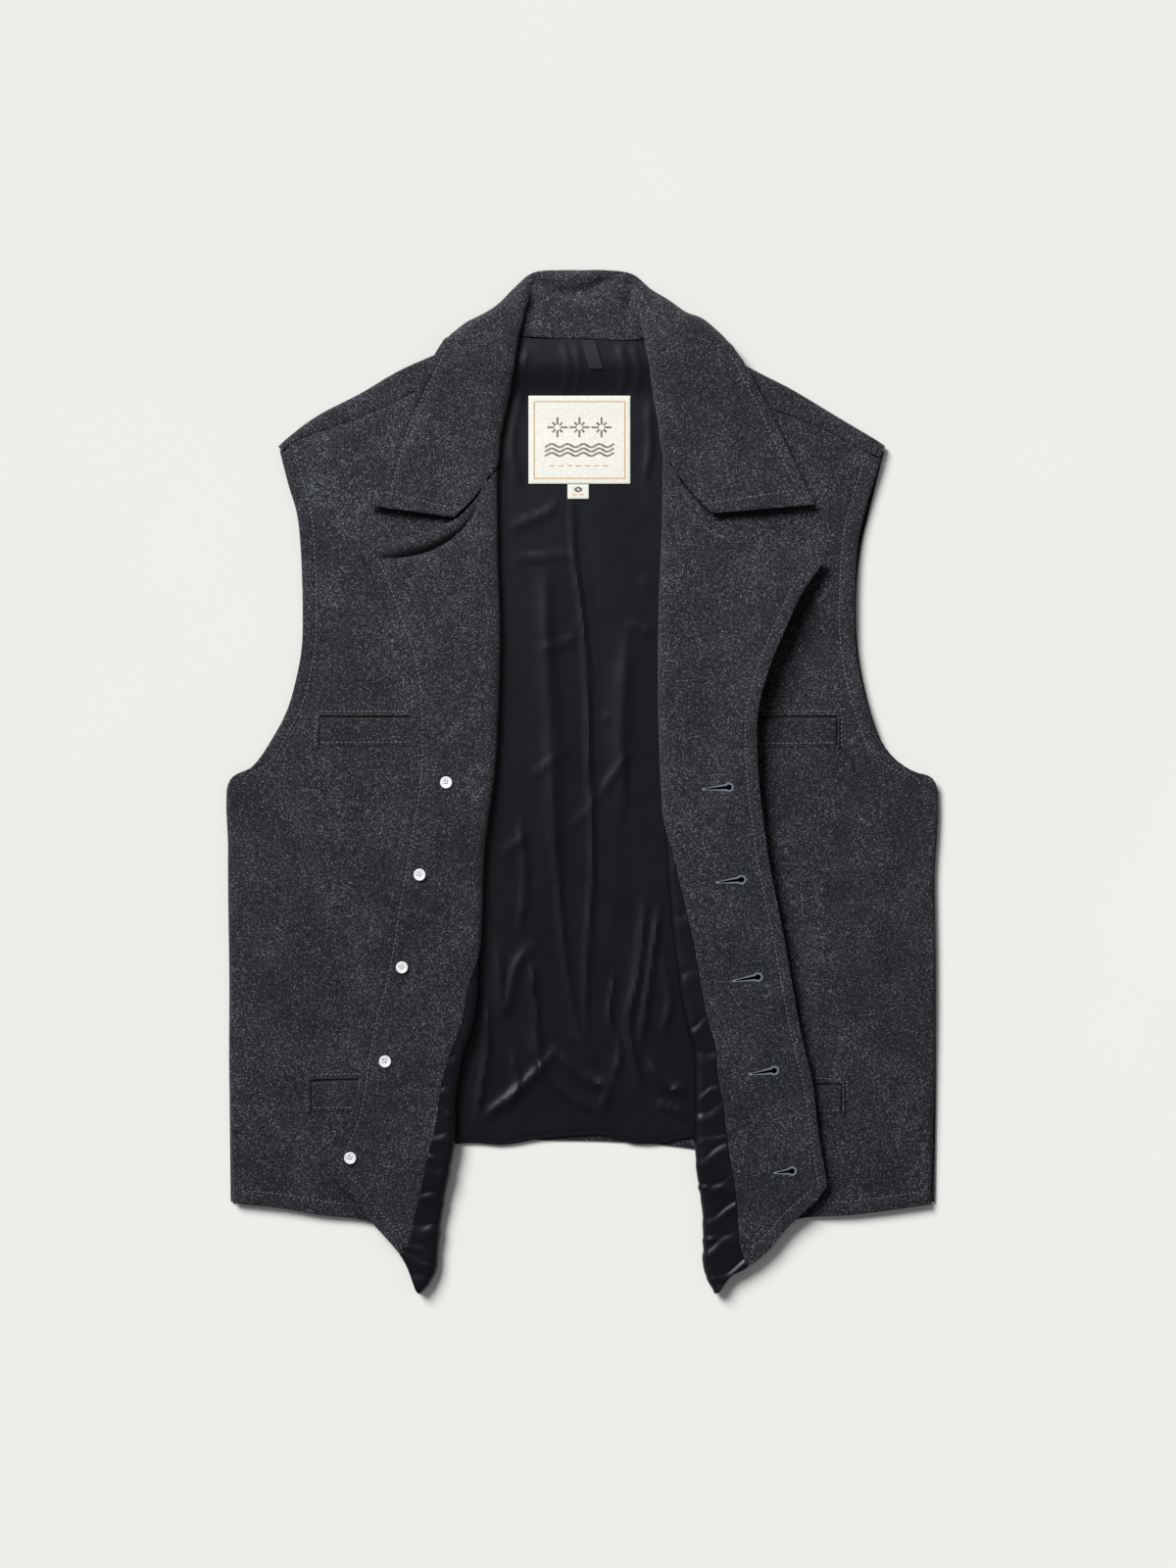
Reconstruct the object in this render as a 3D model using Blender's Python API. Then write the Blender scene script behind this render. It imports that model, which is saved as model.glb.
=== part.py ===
"""A western vest laid flat with both fronts folded open, as solid pieces of cloth.

Tables are in millimetres: x across, y up towards the collar, z up from the floor. "Right" is the wearer's right,
which lies at negative x.
"""

import bpy
import numpy as np

WOOL = 1.8
SATIN = 1.0
GAP = 0.3
FACING = WOOL / 2 + GAP + WOOL / 2
LINING = WOOL / 2 + GAP + SATIN / 2
FLAP_LIFT = 5.4
LAYER = 1.1
COLLAR_CLOTH = 1.4
COLLAR_HALF = LAYER + COLLAR_CLOTH / 2

# Outlines of each front as the photo shows it. Side runs from the hem up the armhole to the shoulder.
RIGHT = {
    "sign": -1,
    "side": [(-278, -335), (-281, -236), (-281, -158), (-282, -56), (-280, 1), (-262, 12), (-244, 38), (-234, 58),
             (-227, 83), (-223, 105), (-222, 131), (-224, 191), (-227, 215), (-233, 235), (-240, 262)],
    "hem": [(-237, -339), (-209, -344), (-173, -350), (-157, -358), (-146, -371), (-139, -389)],
    "shoulder": [(-227, 271), (-209, 278), (-179, 289), (-152, 300), (-133, 310)],
    "fold": [(-127.5, -406), (-117, -393), (-112, -354), (-106, -317), (-100, -283), (-99, -250), (-93, -215),
             (-84, -186), (-80, -120), (-77, -48), (-69, 14), (-66, 76), (-65, 127), (-67, 187), (-67.5, 256)],
    "roll_end": 240,
    "neck": [(-79, 270), (-81.6, 290), (-83.6, 310), (-84.5, 329)],
    "flap_edge": [(-200, -308), (-194, -288), (-182, -259), (-171, -189), (-161, -149), (-151, -86), (-143, -37),
                  (-137, 1), (-136, 45), (-138, 76), (-142, 100), (-152, 127), (-167, 166), (-177, 182)],
    "flap_end": [(-143, -378), (-168, -348), (-180, -331), (-194, -317)],
    "gorge": [(-83, 227), (-91, 217), (-101, 208), (-120, 199), (-141, 193), (-163, 187)],
    "seam": [(0, 0.28), (0.15, 0.26), (0.25, 0.21), (0.34, 0.14), (0.42, 0.06), (1, 0.06)],
    "seam_top": 0.43,
}
LEFT = {
    "sign": 1,
    "side": [(277, -336), (280, -236), (281, -158), (280, -80), (279, 1), (260, 8), (246, 18), (237, 30),
             (231, 46), (223, 72), (217, 105), (216, 132), (217, 172), (220, 199), (227, 225), (237, 257)],
    "hem": [(253, -339), (214, -344), (166, -350), (146, -364), (128, -379), (116, -391)],
    "shoulder": [(223, 263), (195, 278), (170, 289), (152, 295), (120, 309)],
    "fold": [(104, -406), (97, -393), (94, -340), (89, -305), (88, -250), (87, -210), (81, -189), (72, -132),
             (67, -77), (63, -14), (60, 58), (60.5, 148), (63, 213), (63.6, 265)],
    "roll_end": 250,
    "neck": [(75, 282), (79, 302), (81, 317), (82, 329)],
    "flap_edge": [(194, -320), (187, -278), (182, -236), (174, -203), (158, -114), (149, -69), (143, -28),
                  (139, 14), (139, 54), (147, 87), (163, 126), (175, 151), (192, 175)],
    "flap_end": [(118, -392), (128, -387), (147, -372), (163, -353), (186, -331)],
    "gorge": [(79, 236), (90, 223), (101, 209), (118, 201), (145, 192), (172, 182)],
    "seam": [(0, 0.27), (0.2, 0.22), (0.35, 0.19), (0.5, 0.17), (0.56, 0.08), (1, 0.06)],
    "seam_top": 0.57,
}

BACK_RIGHT_SIDE = [(-280, -334), (-281, -236), (-281, -158), (-282, -56), (-280, 1), (-261, 13), (-242, 40),
                   (-232, 60), (-225, 84), (-221, 131), (-222, 191), (-231, 235), (-241, 263)]
BACK_LEFT_SIDE = [(280, -334), (281, -236), (281, -158), (280, -80), (279, 1), (262, 9), (248, 19), (238, 32),
                  (228, 60), (219, 105), (218, 155), (222, 190), (228, 215), (240, 263)]
BACK_HEM = [(-180, -304), (-102, -284), (-36, -285), (23, -286), (90, -292), (180, -310)]
# Shoulder folds, where the back turns forward over the top, from the armhole to the neck.
RIGHT_SHOULDER = [(-243, 267), (-213, 290), (-175, 310), (-148, 326), (-116, 340), (-98, 348), (-87, 353)]
LEFT_SHOULDER = [(242, 267), (200, 292), (165, 313), (141, 325), (122, 335), (104, 344), (86, 351)]
BACK_NECK = [(-70, 352.5), (-62, 353.5), (-48, 353), (-30, 352), (0, 352), (22, 350.5), (48, 350), (62, 350.5),
             (72, 349.5)]

# Collar sections from the right end round the back neck to the left end. Each row has the neck seam x, y, z; the
# roll x, y, z; the outermost point x, y and the height before it; the outer edge x, y; how far the stand leans
# under the fall; and how many degrees the fall turns under.
COLLAR = [
    (-102, 210, 0, 0, 0, 0, 0, 0, 0, -168, 219, 0, 0),
    (-92, 219, 0, 0, 0, 0, 0, 0, 0, -158, 239, 0, 0),
    (-83.5, 229, 0, 0, 0, 0, 0, 0, 0, -151, 262, 0, 0),
    (-75, 257, 6.1, -67.5, 251, 9.3, 0, 0, 0, -146, 279, 1, 0),
    (-78, 270, 6.1, -65, 272, 9.3, 0, 0, 0, -142, 290, 1, 0),
    (-80.6, 290, 6.1, -61.5, 290, 9.3, 0, 0, 0, -136, 302, 1, 0),
    (-82.6, 310, 6.9, -57.5, 308, 9.9, 0, 0, 0, -129, 317, 1, 0),
    (-83.2, 328, 10.5, -54.5, 326, 13.5, 0, 0, 0, -121, 331, 1, 0),
    (-83, 340, 10.9, -52.5, 338, 13.9, -112.5, 348, 15, -112.5, 348, 1, 70),
    (-81, 346, 10.9, -51.5, 345, 14, -107, 353, 15, -104, 346, 1, 130),
    (-78, 350, 10.6, -50.5, 351, 14, -102, 357, 15, -99, 342, 0.9, 180),
    (-70, 355, 8.4, -49, 359, 13.6, -93, 364, 14.5, -89, 343, 0.65, 180),
    (-60, 355, 7.2, -46.5, 369, 12.8, -79, 371, 13.4, -76, 346, 0.4, 180),
    (-50, 354.4, 6.4, -44, 380, 11.6, -67, 379, 12, -64, 349, 0.25, 180),
    (-40, 353.8, 6.2, -41, 385, 10, -54, 393, 10, -51, 352, 0.2, 180),
    (-30, 353, 6.2, -34, 386, 8, -39, 405, 7.8, -38, 355, 0.05, 180),
    (-15, 352.6, 6.2, -17, 384, 7, -18, 407, 6.9, -18, 357, 0, 180),
    (0, 352.6, 6.2, 0, 384, 6.9, 0, 407, 6.9, 0, 357, 0, 180),
    (15, 351.6, 6.2, 17, 384, 7, 18, 407, 6.9, 18, 357, 0, 180),
    (30, 351, 6.2, 34, 385, 8, 39, 404, 7.8, 38, 355, 0.05, 180),
    (40, 351.6, 6.2, 39, 383, 10, 55, 391, 10, 52, 352, 0.2, 180),
    (50, 353, 6.4, 42.5, 378, 11.6, 69, 382, 12, 66, 349, 0.25, 180),
    (60, 354.5, 7.2, 45.5, 369, 12.8, 83, 372, 13.4, 80, 346, 0.4, 180),
    (69, 354.5, 8.4, 47.5, 359, 13.6, 96, 367, 14.5, 92, 343, 0.65, 180),
    (76, 349, 10.6, 49, 351, 14, 108, 357, 15, 104, 341, 0.9, 180),
    (79, 345, 10.9, 50, 345, 14, 116, 349, 15, 112, 342, 1, 130),
    (80.5, 339, 10.9, 51.5, 338, 13.9, 122, 342, 15, 122, 342, 1, 70),
    (80.7, 328, 10.5, 53, 331, 13.5, 0, 0, 0, 129, 330, 1, 0),
    (80, 317, 8.3, 54.5, 318, 11, 0, 0, 0, 136, 318, 1, 0),
    (78, 302, 6.1, 57, 302, 9.3, 0, 0, 0, 143, 305, 1, 0),
    (74, 282, 6.1, 60.5, 282, 9.3, 0, 0, 0, 151, 290, 1, 0),
    (71, 266, 6.1, 63.6, 261, 9.3, 0, 0, 0, 157, 277, 1, 0),
    (80, 238, 0, 0, 0, 0, 0, 0, 0, 164, 262, 0, 0),
    (91, 225, 0, 0, 0, 0, 0, 0, 0, 174, 241, 0, 0),
    (103, 213, 0, 0, 0, 0, 0, 0, 0, 184, 220, 0, 0),
]

# Welts: the outer end's x, the inner end's x, and the top and bottom y at both ends.
WELTS = {
    "welt_chest_right": (-209, -110, 52, 28, 52, 29),
    "welt_chest_left": (202, 101, 52, 28, 52, 27),
    "welt_hip_right": (-216, -113, -237, -262, -234, -262),
    "welt_hip_left": (206, 104, -240, -264, -238, -264),
}
STAY_BUTTONS = [(-108, -0.5), (-129, -73.6), (-143, -147), (-156.4, -221.5), (-184, -298)]
# Buttonholes: the tail end nearer the fold and the round end nearer the edge.
BUTTONHOLES = [(94, -6, 121, -4), (105, -80, 131, -77), (118, -158, 144, -154), (131, -232, 157, -228),
               (151, -310, 171, -308)]


def step(value, low, high):
    """Rises smoothly from 0 to 1 between the two limits."""
    t = np.clip((value - low) / (high - low), 0, 1)
    return t * t * (3 - 2 * t)


def raised(x, y):
    """How much the cloth lies on the collar's folded-under part, 0 to 1."""
    return step(y, 306, 334) * (1 - step(np.abs(x), 127, 166))


def back_height(x, y):
    return WOOL / 2 + 4.6 * raised(x, y)


def label_height(x, y):
    return back_height(x, y) + 0.9 * step(y, 282, 307)


def front_height(x, y):
    hem = -283 - 0.28 * np.maximum(np.abs(x) - 100, 0)
    return 6.6 + 4.9 * raised(x, y) - 3 * step(hem - y, 15, 62)


def smooth(points, at):
    """Points at the given fractions of the length of a smooth line through the given points."""
    p = np.asarray(points, float)
    knots = np.concatenate([[0], np.cumsum(np.sqrt(np.linalg.norm(np.diff(p, axis=0), axis=1)))])
    slopes = np.diff(p, axis=0) / np.diff(knots)[:, None]
    tangents = np.empty_like(p)
    tangents[0], tangents[-1] = slopes[0], slopes[-1]
    before, after = np.diff(knots)[:-1, None], np.diff(knots)[1:, None]
    tangents[1:-1] = (after * slopes[:-1] + before * slopes[1:]) / (before + after)
    dense = []
    for k in range(len(p) - 1):
        t = np.linspace(0, 1, 13)[: 13 if k == len(p) - 2 else 12, None]
        h = knots[k + 1] - knots[k]
        dense.append((2 * t**3 - 3 * t**2 + 1) * p[k] + (t**3 - 2 * t**2 + t) * h * tangents[k]
                     + (3 * t**2 - 2 * t**3) * p[k + 1] + (t**3 - t**2) * h * tangents[k + 1])
    line = np.concatenate(dense)
    length = np.concatenate([[0], np.cumsum(np.linalg.norm(np.diff(line, axis=0), axis=1))])
    return np.stack([np.interp(np.asarray(at) * length[-1], length, line[:, k]) for k in range(p.shape[1])], -1)


def patch(left, right, bottom, top, u, v):
    """A grid of plan points, rows by columns, filled in smoothly between four sampled edges."""
    u, v = np.asarray(u)[None, :, None], np.asarray(v)[:, None, None]
    sides = (1 - u) * left[:, None] + u * right[:, None]
    ends = (1 - v) * bottom[None] + v * top[None]
    corners = ((1 - u) * (1 - v) * left[0] + u * (1 - v) * right[0] + (1 - u) * v * left[-1] + u * v * right[-1])
    return sides + ends - corners


def grid_normals(grid, cells):
    """Area-weighted normals at the grid's points, from the cells that exist."""
    normals = np.zeros_like(grid)
    a, b, c, d = grid[:-1, :-1], grid[:-1, 1:], grid[1:, 1:], grid[1:, :-1]
    face = np.cross(c - a, d - b) * cells[..., None]
    normals[:-1, :-1] += face
    normals[:-1, 1:] += face
    normals[1:, 1:] += face
    normals[1:, :-1] += face
    return normals / np.maximum(np.linalg.norm(normals, axis=-1, keepdims=True), 1e-9)


def mesh_object(name, points, faces):
    mesh = bpy.data.meshes.new(name)
    mesh.from_pydata([tuple(p) for p in np.asarray(points) / 1000], [], [tuple(map(int, f)) for f in faces])
    mesh.update()
    obj = bpy.data.objects.new(name, mesh)
    bpy.context.scene.collection.objects.link(obj)
    return obj


def sheet(name, grid, normals, low, high, cells=None):
    """A closed piece of cloth between two distances along the normals, over the grid's cells."""
    rows, cols = grid.shape[:2]
    if cells is None:
        cells = np.ones((rows - 1, cols - 1), bool)
    index = np.arange(rows * cols).reshape(rows, cols)
    a, b, c, d = index[:-1, :-1][cells], index[:-1, 1:][cells], index[1:, 1:][cells], index[1:, :-1][cells]
    upper = np.concatenate([np.stack([a, b, c], -1), np.stack([a, c, d], -1)])
    edges = np.concatenate([upper[:, [0, 1]], upper[:, [1, 2]], upper[:, [2, 0]]])
    known = {(int(p), int(q)) for p, q in edges}
    rim = np.array([e for e in edges if (int(e[1]), int(e[0])) not in known])
    shift = rows * cols
    faces = np.concatenate([
        upper, upper[:, ::-1] + shift,
        np.stack([rim[:, 1], rim[:, 0], rim[:, 0] + shift], -1),
        np.stack([rim[:, 1], rim[:, 0] + shift, rim[:, 1] + shift], -1),
    ])
    points = np.concatenate([(grid + normals * high).reshape(-1, 3), (grid + normals * low).reshape(-1, 3)])
    used, faces = np.unique(faces, return_inverse=True)
    faces, points = faces.reshape(-1, 3), points[used]
    if np.linalg.det(points[faces]).sum() < 0:
        faces = faces[:, ::-1]
    return mesh_object(name, points, faces)


def nudge(grid, row_from, row_to, amount):
    """Moves one row of the grid towards another by a distance, to open a seam."""
    way = grid[row_to] - grid[row_from]
    grid[row_from] = grid[row_from] + way / np.linalg.norm(way, axis=-1, keepdims=True) * amount


def front_surface(side, rows, neck_rows, body, turn, flap):
    """The middle surface of a folded front: (grid, cells, columns).

    Rows run from the hem to the roll's end and on to the shoulder. Columns run from the side over the body, round
    the fold and out to the flap's edge.
    """
    sign = side["sign"]
    out = np.array([sign, 0.0])
    w = np.linspace(0, 1, rows)
    fold_length = np.linalg.norm(np.diff(side["fold"], axis=0), axis=1).sum()
    neck_length = np.linalg.norm(np.diff([side["fold"][-1]] + side["neck"], axis=0), axis=1).sum()
    share = fold_length / (fold_length + neck_length)
    v = np.concatenate([w * share, share + (1 - share) * np.linspace(0, 1, neck_rows + 1)[1:]])
    width = 5.0
    inset = 3.0 + width
    edge = np.array(side["fold"], float) + out * inset
    edge[0] += (0, 0.5)
    low_fold = smooth(edge, w)
    high = edge.copy()
    high[:, 1] = np.interp(high[:, 1], [-300, edge[-1, 1]], [-300, side["roll_end"]]) * (high[:, 1] > -300) + \
        high[:, 1] * (high[:, 1] <= -300)
    high_fold = smooth(high, w)
    neck = smooth([tuple(low_fold[-1])] + side["neck"], np.linspace(0, 1, neck_rows + 1)[1:])
    inner = np.concatenate([low_fold, neck])

    outline = smooth(side["side"], v)
    seamed = (1 - step(outline[:, 1], -14, 0))[:, None]
    outer = outline - out * (2.5 + 1.1 * seamed)
    u = np.asarray(body)
    bottom = smooth([tuple(outer[0])] + side["hem"] + [tuple(inner[0])], u)
    top = smooth([tuple(outer[-1])] + side["shoulder"] + [tuple(inner[-1])], u)
    plan = patch(outer, inner, bottom, top, u, v)
    flat = np.concatenate([plan, front_height(plan[..., 0], plan[..., 1])[..., None]], -1)
    curls = []
    for angle in (90, 45):
        a = np.radians(angle)
        reach = seamed * 2.7 * np.sin(a) + (1 - seamed) * 2.5 * angle / 90
        drop = seamed[:, 0] * 2.7 * (1 - np.cos(a))
        spot = outer + out * reach
        curls.append(np.concatenate([spot, (flat[:, 0, 2] - drop)[:, None]], -1)[:, None])
    columns = {"body": 2, "fold": 1 + len(u), "flap": 1 + len(u) + turn}

    low = flat[:rows, -1]
    top_height = front_height(high_fold[:, 0], high_fold[:, 1]) + FLAP_LIFT
    bend = []
    for angle in np.linspace(0, np.pi, turn + 1)[1:-1]:
        t = (1 - np.cos(angle)) / 2
        spot = low[:, :2] * (1 - t) + high_fold * t - out * width * np.sin(angle)
        bend.append(np.concatenate([spot, (low[:, 2] * (1 - t) + top_height * t)[:, None]], -1)[:, None])

    share_of = np.interp(w, *np.array(side["seam"]).T)
    fractions = share_of[:, None] + (1 - share_of[:, None]) * np.asarray(flap)[None]
    fractions = np.concatenate([np.zeros((rows, 1)), fractions], 1)
    edge_line = smooth(side["flap_edge"], w)
    even = np.linspace(0, 1, 41)
    end = smooth([tuple(high_fold[0])] + side["flap_end"] + [side["flap_edge"][0]], even)
    gorge = smooth([tuple(high_fold[-1])] + side["gorge"] + [side["flap_edge"][-1]], even)
    full = patch(high_fold, edge_line, end, gorge, even, w)
    flap_plan = np.stack([np.stack([np.interp(fractions[r], even, full[r, :, k]) for k in range(2)], -1)
                          for r in range(rows)])
    height = front_height(flap_plan[..., 0], flap_plan[..., 1]) + FLAP_LIFT
    flap_grid = np.concatenate([flap_plan, height[..., None]], -1)

    folded = np.concatenate(bend + [flap_grid], 1)
    grid = np.concatenate(curls + [flat, np.concatenate([folded, np.repeat(folded[-1:], neck_rows, 0)])], 1)
    cells = np.ones((grid.shape[0] - 1, grid.shape[1] - 1), bool)
    cells[rows - 1:, columns["fold"]:] = False
    normals = grid_normals(grid, cells)
    if normals[2, -2, 2] < 0:
        normals = -normals
    return grid, normals, cells, columns, w


def build_front(side, name):
    body = [0, 0.2, 0.4, 0.6, 0.77, 0.9, 1]
    flap = [0, 0.2, 0.4, 0.6, 0.8, 1]
    rows = 17
    grid, normals, cells, col, w = front_surface(side, rows, 3, body, 4, flap)
    shell = sheet("front_" + name, grid, normals, -WOOL / 2, WOOL / 2, cells)

    seam_row = int(round(side["seam_top"] * (rows - 1)))
    first = col["fold"] - 1
    facing, lining = grid[:rows, first:].copy(), grid[:seam_row + 1, first:col["flap"] + 2].copy()
    seam = col["flap"] + 1 - first
    keep = np.ones((rows - 1, facing.shape[1] - 1), bool)
    keep[:seam_row, :seam] = False
    nudge(facing[:, :seam], seam_row, seam_row + 1, 0.2)
    nudge(lining, seam_row, seam_row - 1, 0.2)
    side_row = facing[:seam_row + 1, seam] - facing[:seam_row + 1, seam - 1]
    unit = side_row / np.linalg.norm(side_row, axis=-1, keepdims=True)
    facing[:seam_row, seam] += unit[:seam_row] * 0.3
    lining[:, seam] -= unit * 0.3
    facing_normals = normals[:rows, first:]
    front_facing = sheet("facing_" + name, facing, facing_normals, FACING - WOOL / 2, FACING + WOOL / 2, keep)
    sheet("front_lining_" + name, lining, normals[:seam_row + 1, first:col["flap"] + 2],
          LINING - SATIN / 2, LINING + SATIN / 2)
    return shell, front_facing


def turned_edge(line, height, out, radius, spread, rises):
    """The curled outer columns of the back, from the edge inwards."""
    result = []
    for angle in (90, 45):
        a = np.radians(angle)
        spot = line + out * (rises * radius * np.sin(a) + (1 - rises) * spread * angle / 90)
        result.append(np.concatenate([spot, (height + rises[:, 0] * radius * (1 - np.cos(a)))[:, None]], -1)[:, None])
    return result


def back_surface():
    """The back's middle surface with its wrapped shoulders: (grid, normals, cells)."""
    v = np.concatenate([np.linspace(0, 0.9, 14), [0.94, 0.972, 1]])
    right, left = smooth(BACK_RIGHT_SIDE, v), smooth(BACK_LEFT_SIDE, v)
    rises = (1 - step(right[:, 1], -14, 0))[:, None]
    right_in = right + np.concatenate([2 + rises, 0 * rises], 1)
    left_in = left - np.concatenate([2 + rises, 0 * rises], 1)

    def inward(line, count):
        spots = smooth(line, np.linspace(0, 1, count))
        along = np.gradient(spots, axis=0)
        away = np.stack([-along[:, 1], along[:, 0]], -1)
        away /= np.linalg.norm(away, axis=1, keepdims=True)
        return spots, away * np.sign(away[:, 1:])

    count = 7
    right_fold, right_away = inward(RIGHT_SHOULDER, count)
    left_fold, left_away = inward(LEFT_SHOULDER, count)
    right_base, left_base = right_fold - 4.9 * right_away, left_fold - 4.9 * left_away
    right_base[0], left_base[0] = right_in[-1], left_in[-1]
    neck = smooth([tuple(right_base[-1])] + BACK_NECK + [tuple(left_base[-1])], np.linspace(0, 1, 9))
    top = np.concatenate([right_base, neck[1:-1], left_base[::-1]])
    along = np.concatenate([[0], np.cumsum(np.linalg.norm(np.diff(top, axis=0), axis=1))])
    u = along / along[-1]
    bottom = smooth([tuple(right_in[0])] + BACK_HEM + [tuple(left_in[0])], u)
    plan = patch(right_in, left_in, bottom, top, u, v)
    flat = np.concatenate([plan, back_height(plan[..., 0], plan[..., 1])[..., None]], -1)
    ends = turned_edge(right_in, flat[:, 0, 2], np.array([-1.0, 0]), 2.1, 2, rises)
    other = turned_edge(left_in, flat[:, -1, 2], np.array([1.0, 0]), 2.1, 2, rises)
    grid = np.concatenate(ends + [flat] + other[::-1], 1)

    wraps = []
    seams = []
    for side in (RIGHT, LEFT):
        neck_end = side["neck"][-1]
        line = [(side["side"][-1][0], side["side"][-1][1] + 0.9)] + [(x, y + 0.9) for x, y in side["shoulder"]] \
            + [(neck_end[0], neck_end[1] + 0.9)]
        seams.append(smooth(line, np.linspace(0, 1, count)))
    for angle in (45, 90, 135, 180, None):
        row = grid[-1].copy()
        for base, away, seam, at in ((right_base, right_away, seams[0], slice(2, 2 + count)),
                                     (left_base[::-1], left_away[::-1], seams[1][::-1], slice(-2 - count, -2))):
            start = grid[-1, at]
            end_height = front_height(seam[:, 0], seam[:, 1])
            if angle is None:
                row[at] = np.concatenate([seam, end_height[:, None]], -1)
                continue
            a = np.radians(angle)
            t = (1 - np.cos(a)) / 2
            spot = base + away * 4 * np.sin(a)
            row[at] = np.concatenate([spot, (start[:, 2] * (1 - t) + end_height * t)[:, None]], -1)
        wraps.append(row[None])
    whole = np.concatenate([grid] + wraps)
    cells = np.ones((whole.shape[0] - 1, whole.shape[1] - 1), bool)
    cells[16:] = False
    cells[16:, 2:1 + count] = True
    cells[16:, -1 - count:-2] = True
    normals = grid_normals(whole, cells)
    return whole, (normals if normals[4, 10, 2] > 0 else -normals), cells


def build_back():
    grid, normals, cells = back_surface()
    sheet("back", grid, normals, -WOOL / 2, WOOL / 2, cells)
    lining = grid[:17, 2:-2].copy()
    for edge, inner, amount in ((0, 1, 6), (-1, -2, 6)):
        for row in range(17):
            way = lining[row, inner] - lining[row, edge]
            lining[row, edge] += way / np.linalg.norm(way) * amount
    way = lining[1] - lining[0]
    lining[0] += way / np.linalg.norm(way, axis=-1, keepdims=True) * 10
    shoulder = np.ones(lining.shape[1], bool)
    shoulder[8:-8] = False
    way = lining[-2] - lining[-1]
    lining[-1] += way / np.linalg.norm(way, axis=-1, keepdims=True) * np.where(shoulder, 14, 0.4)[:, None]
    lining[..., 2] += LINING
    lining[-1, :6, 2] += 0.5
    lining[-1, -6:, 2] += 0.5
    up = np.zeros_like(lining)
    up[..., 2] = 1
    sheet("back_lining", lining, up, -SATIN / 2, SATIN / 2)


def collar_surface():
    """The collar's middle surface: (grid, normals, cells). Columns run from the neck seam to the outer edge."""
    sections = []
    free = []
    for nx, ny, nz, rx, ry, rz, sx, sy, sz, ex, ey, lean, turn in COLLAR:
        neck, end = np.array([nx, ny, nz], float), np.array([ex, ey], float)
        gorge = rz == 0
        free.append(gorge)
        if gorge:
            start = np.array([nx, ny, front_height(nx, ny) + FLAP_LIFT + LAYER])
            keys = [start] * 4
        else:
            target = np.array([sx, sy]) if turn else end
            away = target - (rx, ry)
            away = away / np.linalg.norm(away)
            roll = np.array([*((rx, ry) + away * COLLAR_HALF), rz])
            under = np.array([*(roll[:2] + away * 6), rz - 3.7])
            near = neck + (roll - neck) * 0.8
            near[2] = neck[2] + (rz - neck[2]) * 0.75
            before = near * (1 - lean) + under * lean
            if lean == 1 and abs(nx - before[0]) < 1.2:
                before[0] = nx - np.sign(nx) * 0.5
                before[1] = ny
            over = np.array([*(roll[:2] + away * 6), rz + 3.7 * lean])
            keys = [neck, before, roll, over]
            if ny in (257, 266):
                keys[3][1] = {257: 242, 266: 251.5}[ny]
        over = keys[3]
        if not turn:
            rest = []
            for t in (0.3, 0.6, 0.8, 0.9, 1):
                spot = over[:2] + (end - over[:2]) * t
                far = np.linalg.norm(spot - over[:2])
                height = front_height(*spot) + 3.9
                rest.append(np.array([*spot, height + (over[2] - front_height(*over[:2]) - 3.9) * np.exp(-far / 25)]))
        else:
            away = np.array([sx, sy]) - over[:2]
            away = away / np.linalg.norm(away)
            outermost = np.array([sx, sy]) - away * COLLAR_HALF
            reach = min(6.0, (sz - COLLAR_HALF) / 2 + 0.5)
            crest = outermost - away * reach
            low = COLLAR_HALF
            rest = [np.array([*(over[:2] * 0.5 + crest * 0.5), over[2] * 0.5 + sz * 0.5]), np.array([*crest, sz])]
            for angle in (90, 180):
                a = np.radians(angle * turn / 180)
                rest.append(np.array([*(crest + away * reach * np.sin(a)),
                                      (sz + low) / 2 + (sz - low) / 2 * np.cos(a)]))
            rest.append(np.array([ex, ey, low]) if turn == 180 else rest[-1] - (0, 0, 1.0))
        sections.append(keys + rest)
    spans = (2, 2, 2, 1, 2, 2, 2, 1)
    grid = []
    for keys in sections:
        keys = np.array(keys)
        first = 3 if np.allclose(keys[0], keys[3]) else 0
        line = []
        for k in range(8):
            if k < first:
                line += [keys[3]] * spans[k]
                continue
            p = keys[k], keys[k + 1]
            before = keys[k - 1] if k > first else 2 * p[0] - p[1]
            after = keys[k + 2] if k < 7 else 2 * p[1] - p[0]
            for t in np.arange(spans[k]) / spans[k]:
                line.append(catmull(before, p[0], p[1], after, t))
        line.append(keys[8])
        grid.append(line)
    grid = np.array(grid)
    cells = np.ones((grid.shape[0] - 1, grid.shape[1] - 1), bool)
    free = np.array(free)
    cells[:, :6] = ~(free[:-1] | free[1:])[:, None]
    normals = grid_normals(grid, cells)
    for _ in range(2):
        normals[1:-1] = normals[:-2] + 2 * normals[1:-1] + normals[2:]
        normals /= np.maximum(np.linalg.norm(normals, axis=-1, keepdims=True), 1e-9)
    middle = len(COLLAR) // 2
    return grid, (normals if normals[middle, 2, 2] > 0 else -normals), cells


def catmull(a, b, c, d, t):
    """A point on the centripetal spline between b and c."""
    ab, bc, cd = (max(np.sqrt(np.linalg.norm(q - p)), 1e-3) for p, q in ((a, b), (b, c), (c, d)))
    m1 = bc * ((b - a) / ab - (c - a) / (ab + bc) + (c - b) / bc)
    m2 = bc * ((c - b) / bc - (d - b) / (bc + cd) + (d - c) / cd)
    return (2 * t**3 - 3 * t**2 + 1) * b + (t**3 - 2 * t**2 + t) * m1 + (3 * t**2 - 2 * t**3) * c + (t**3 - t**2) * m2


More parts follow.
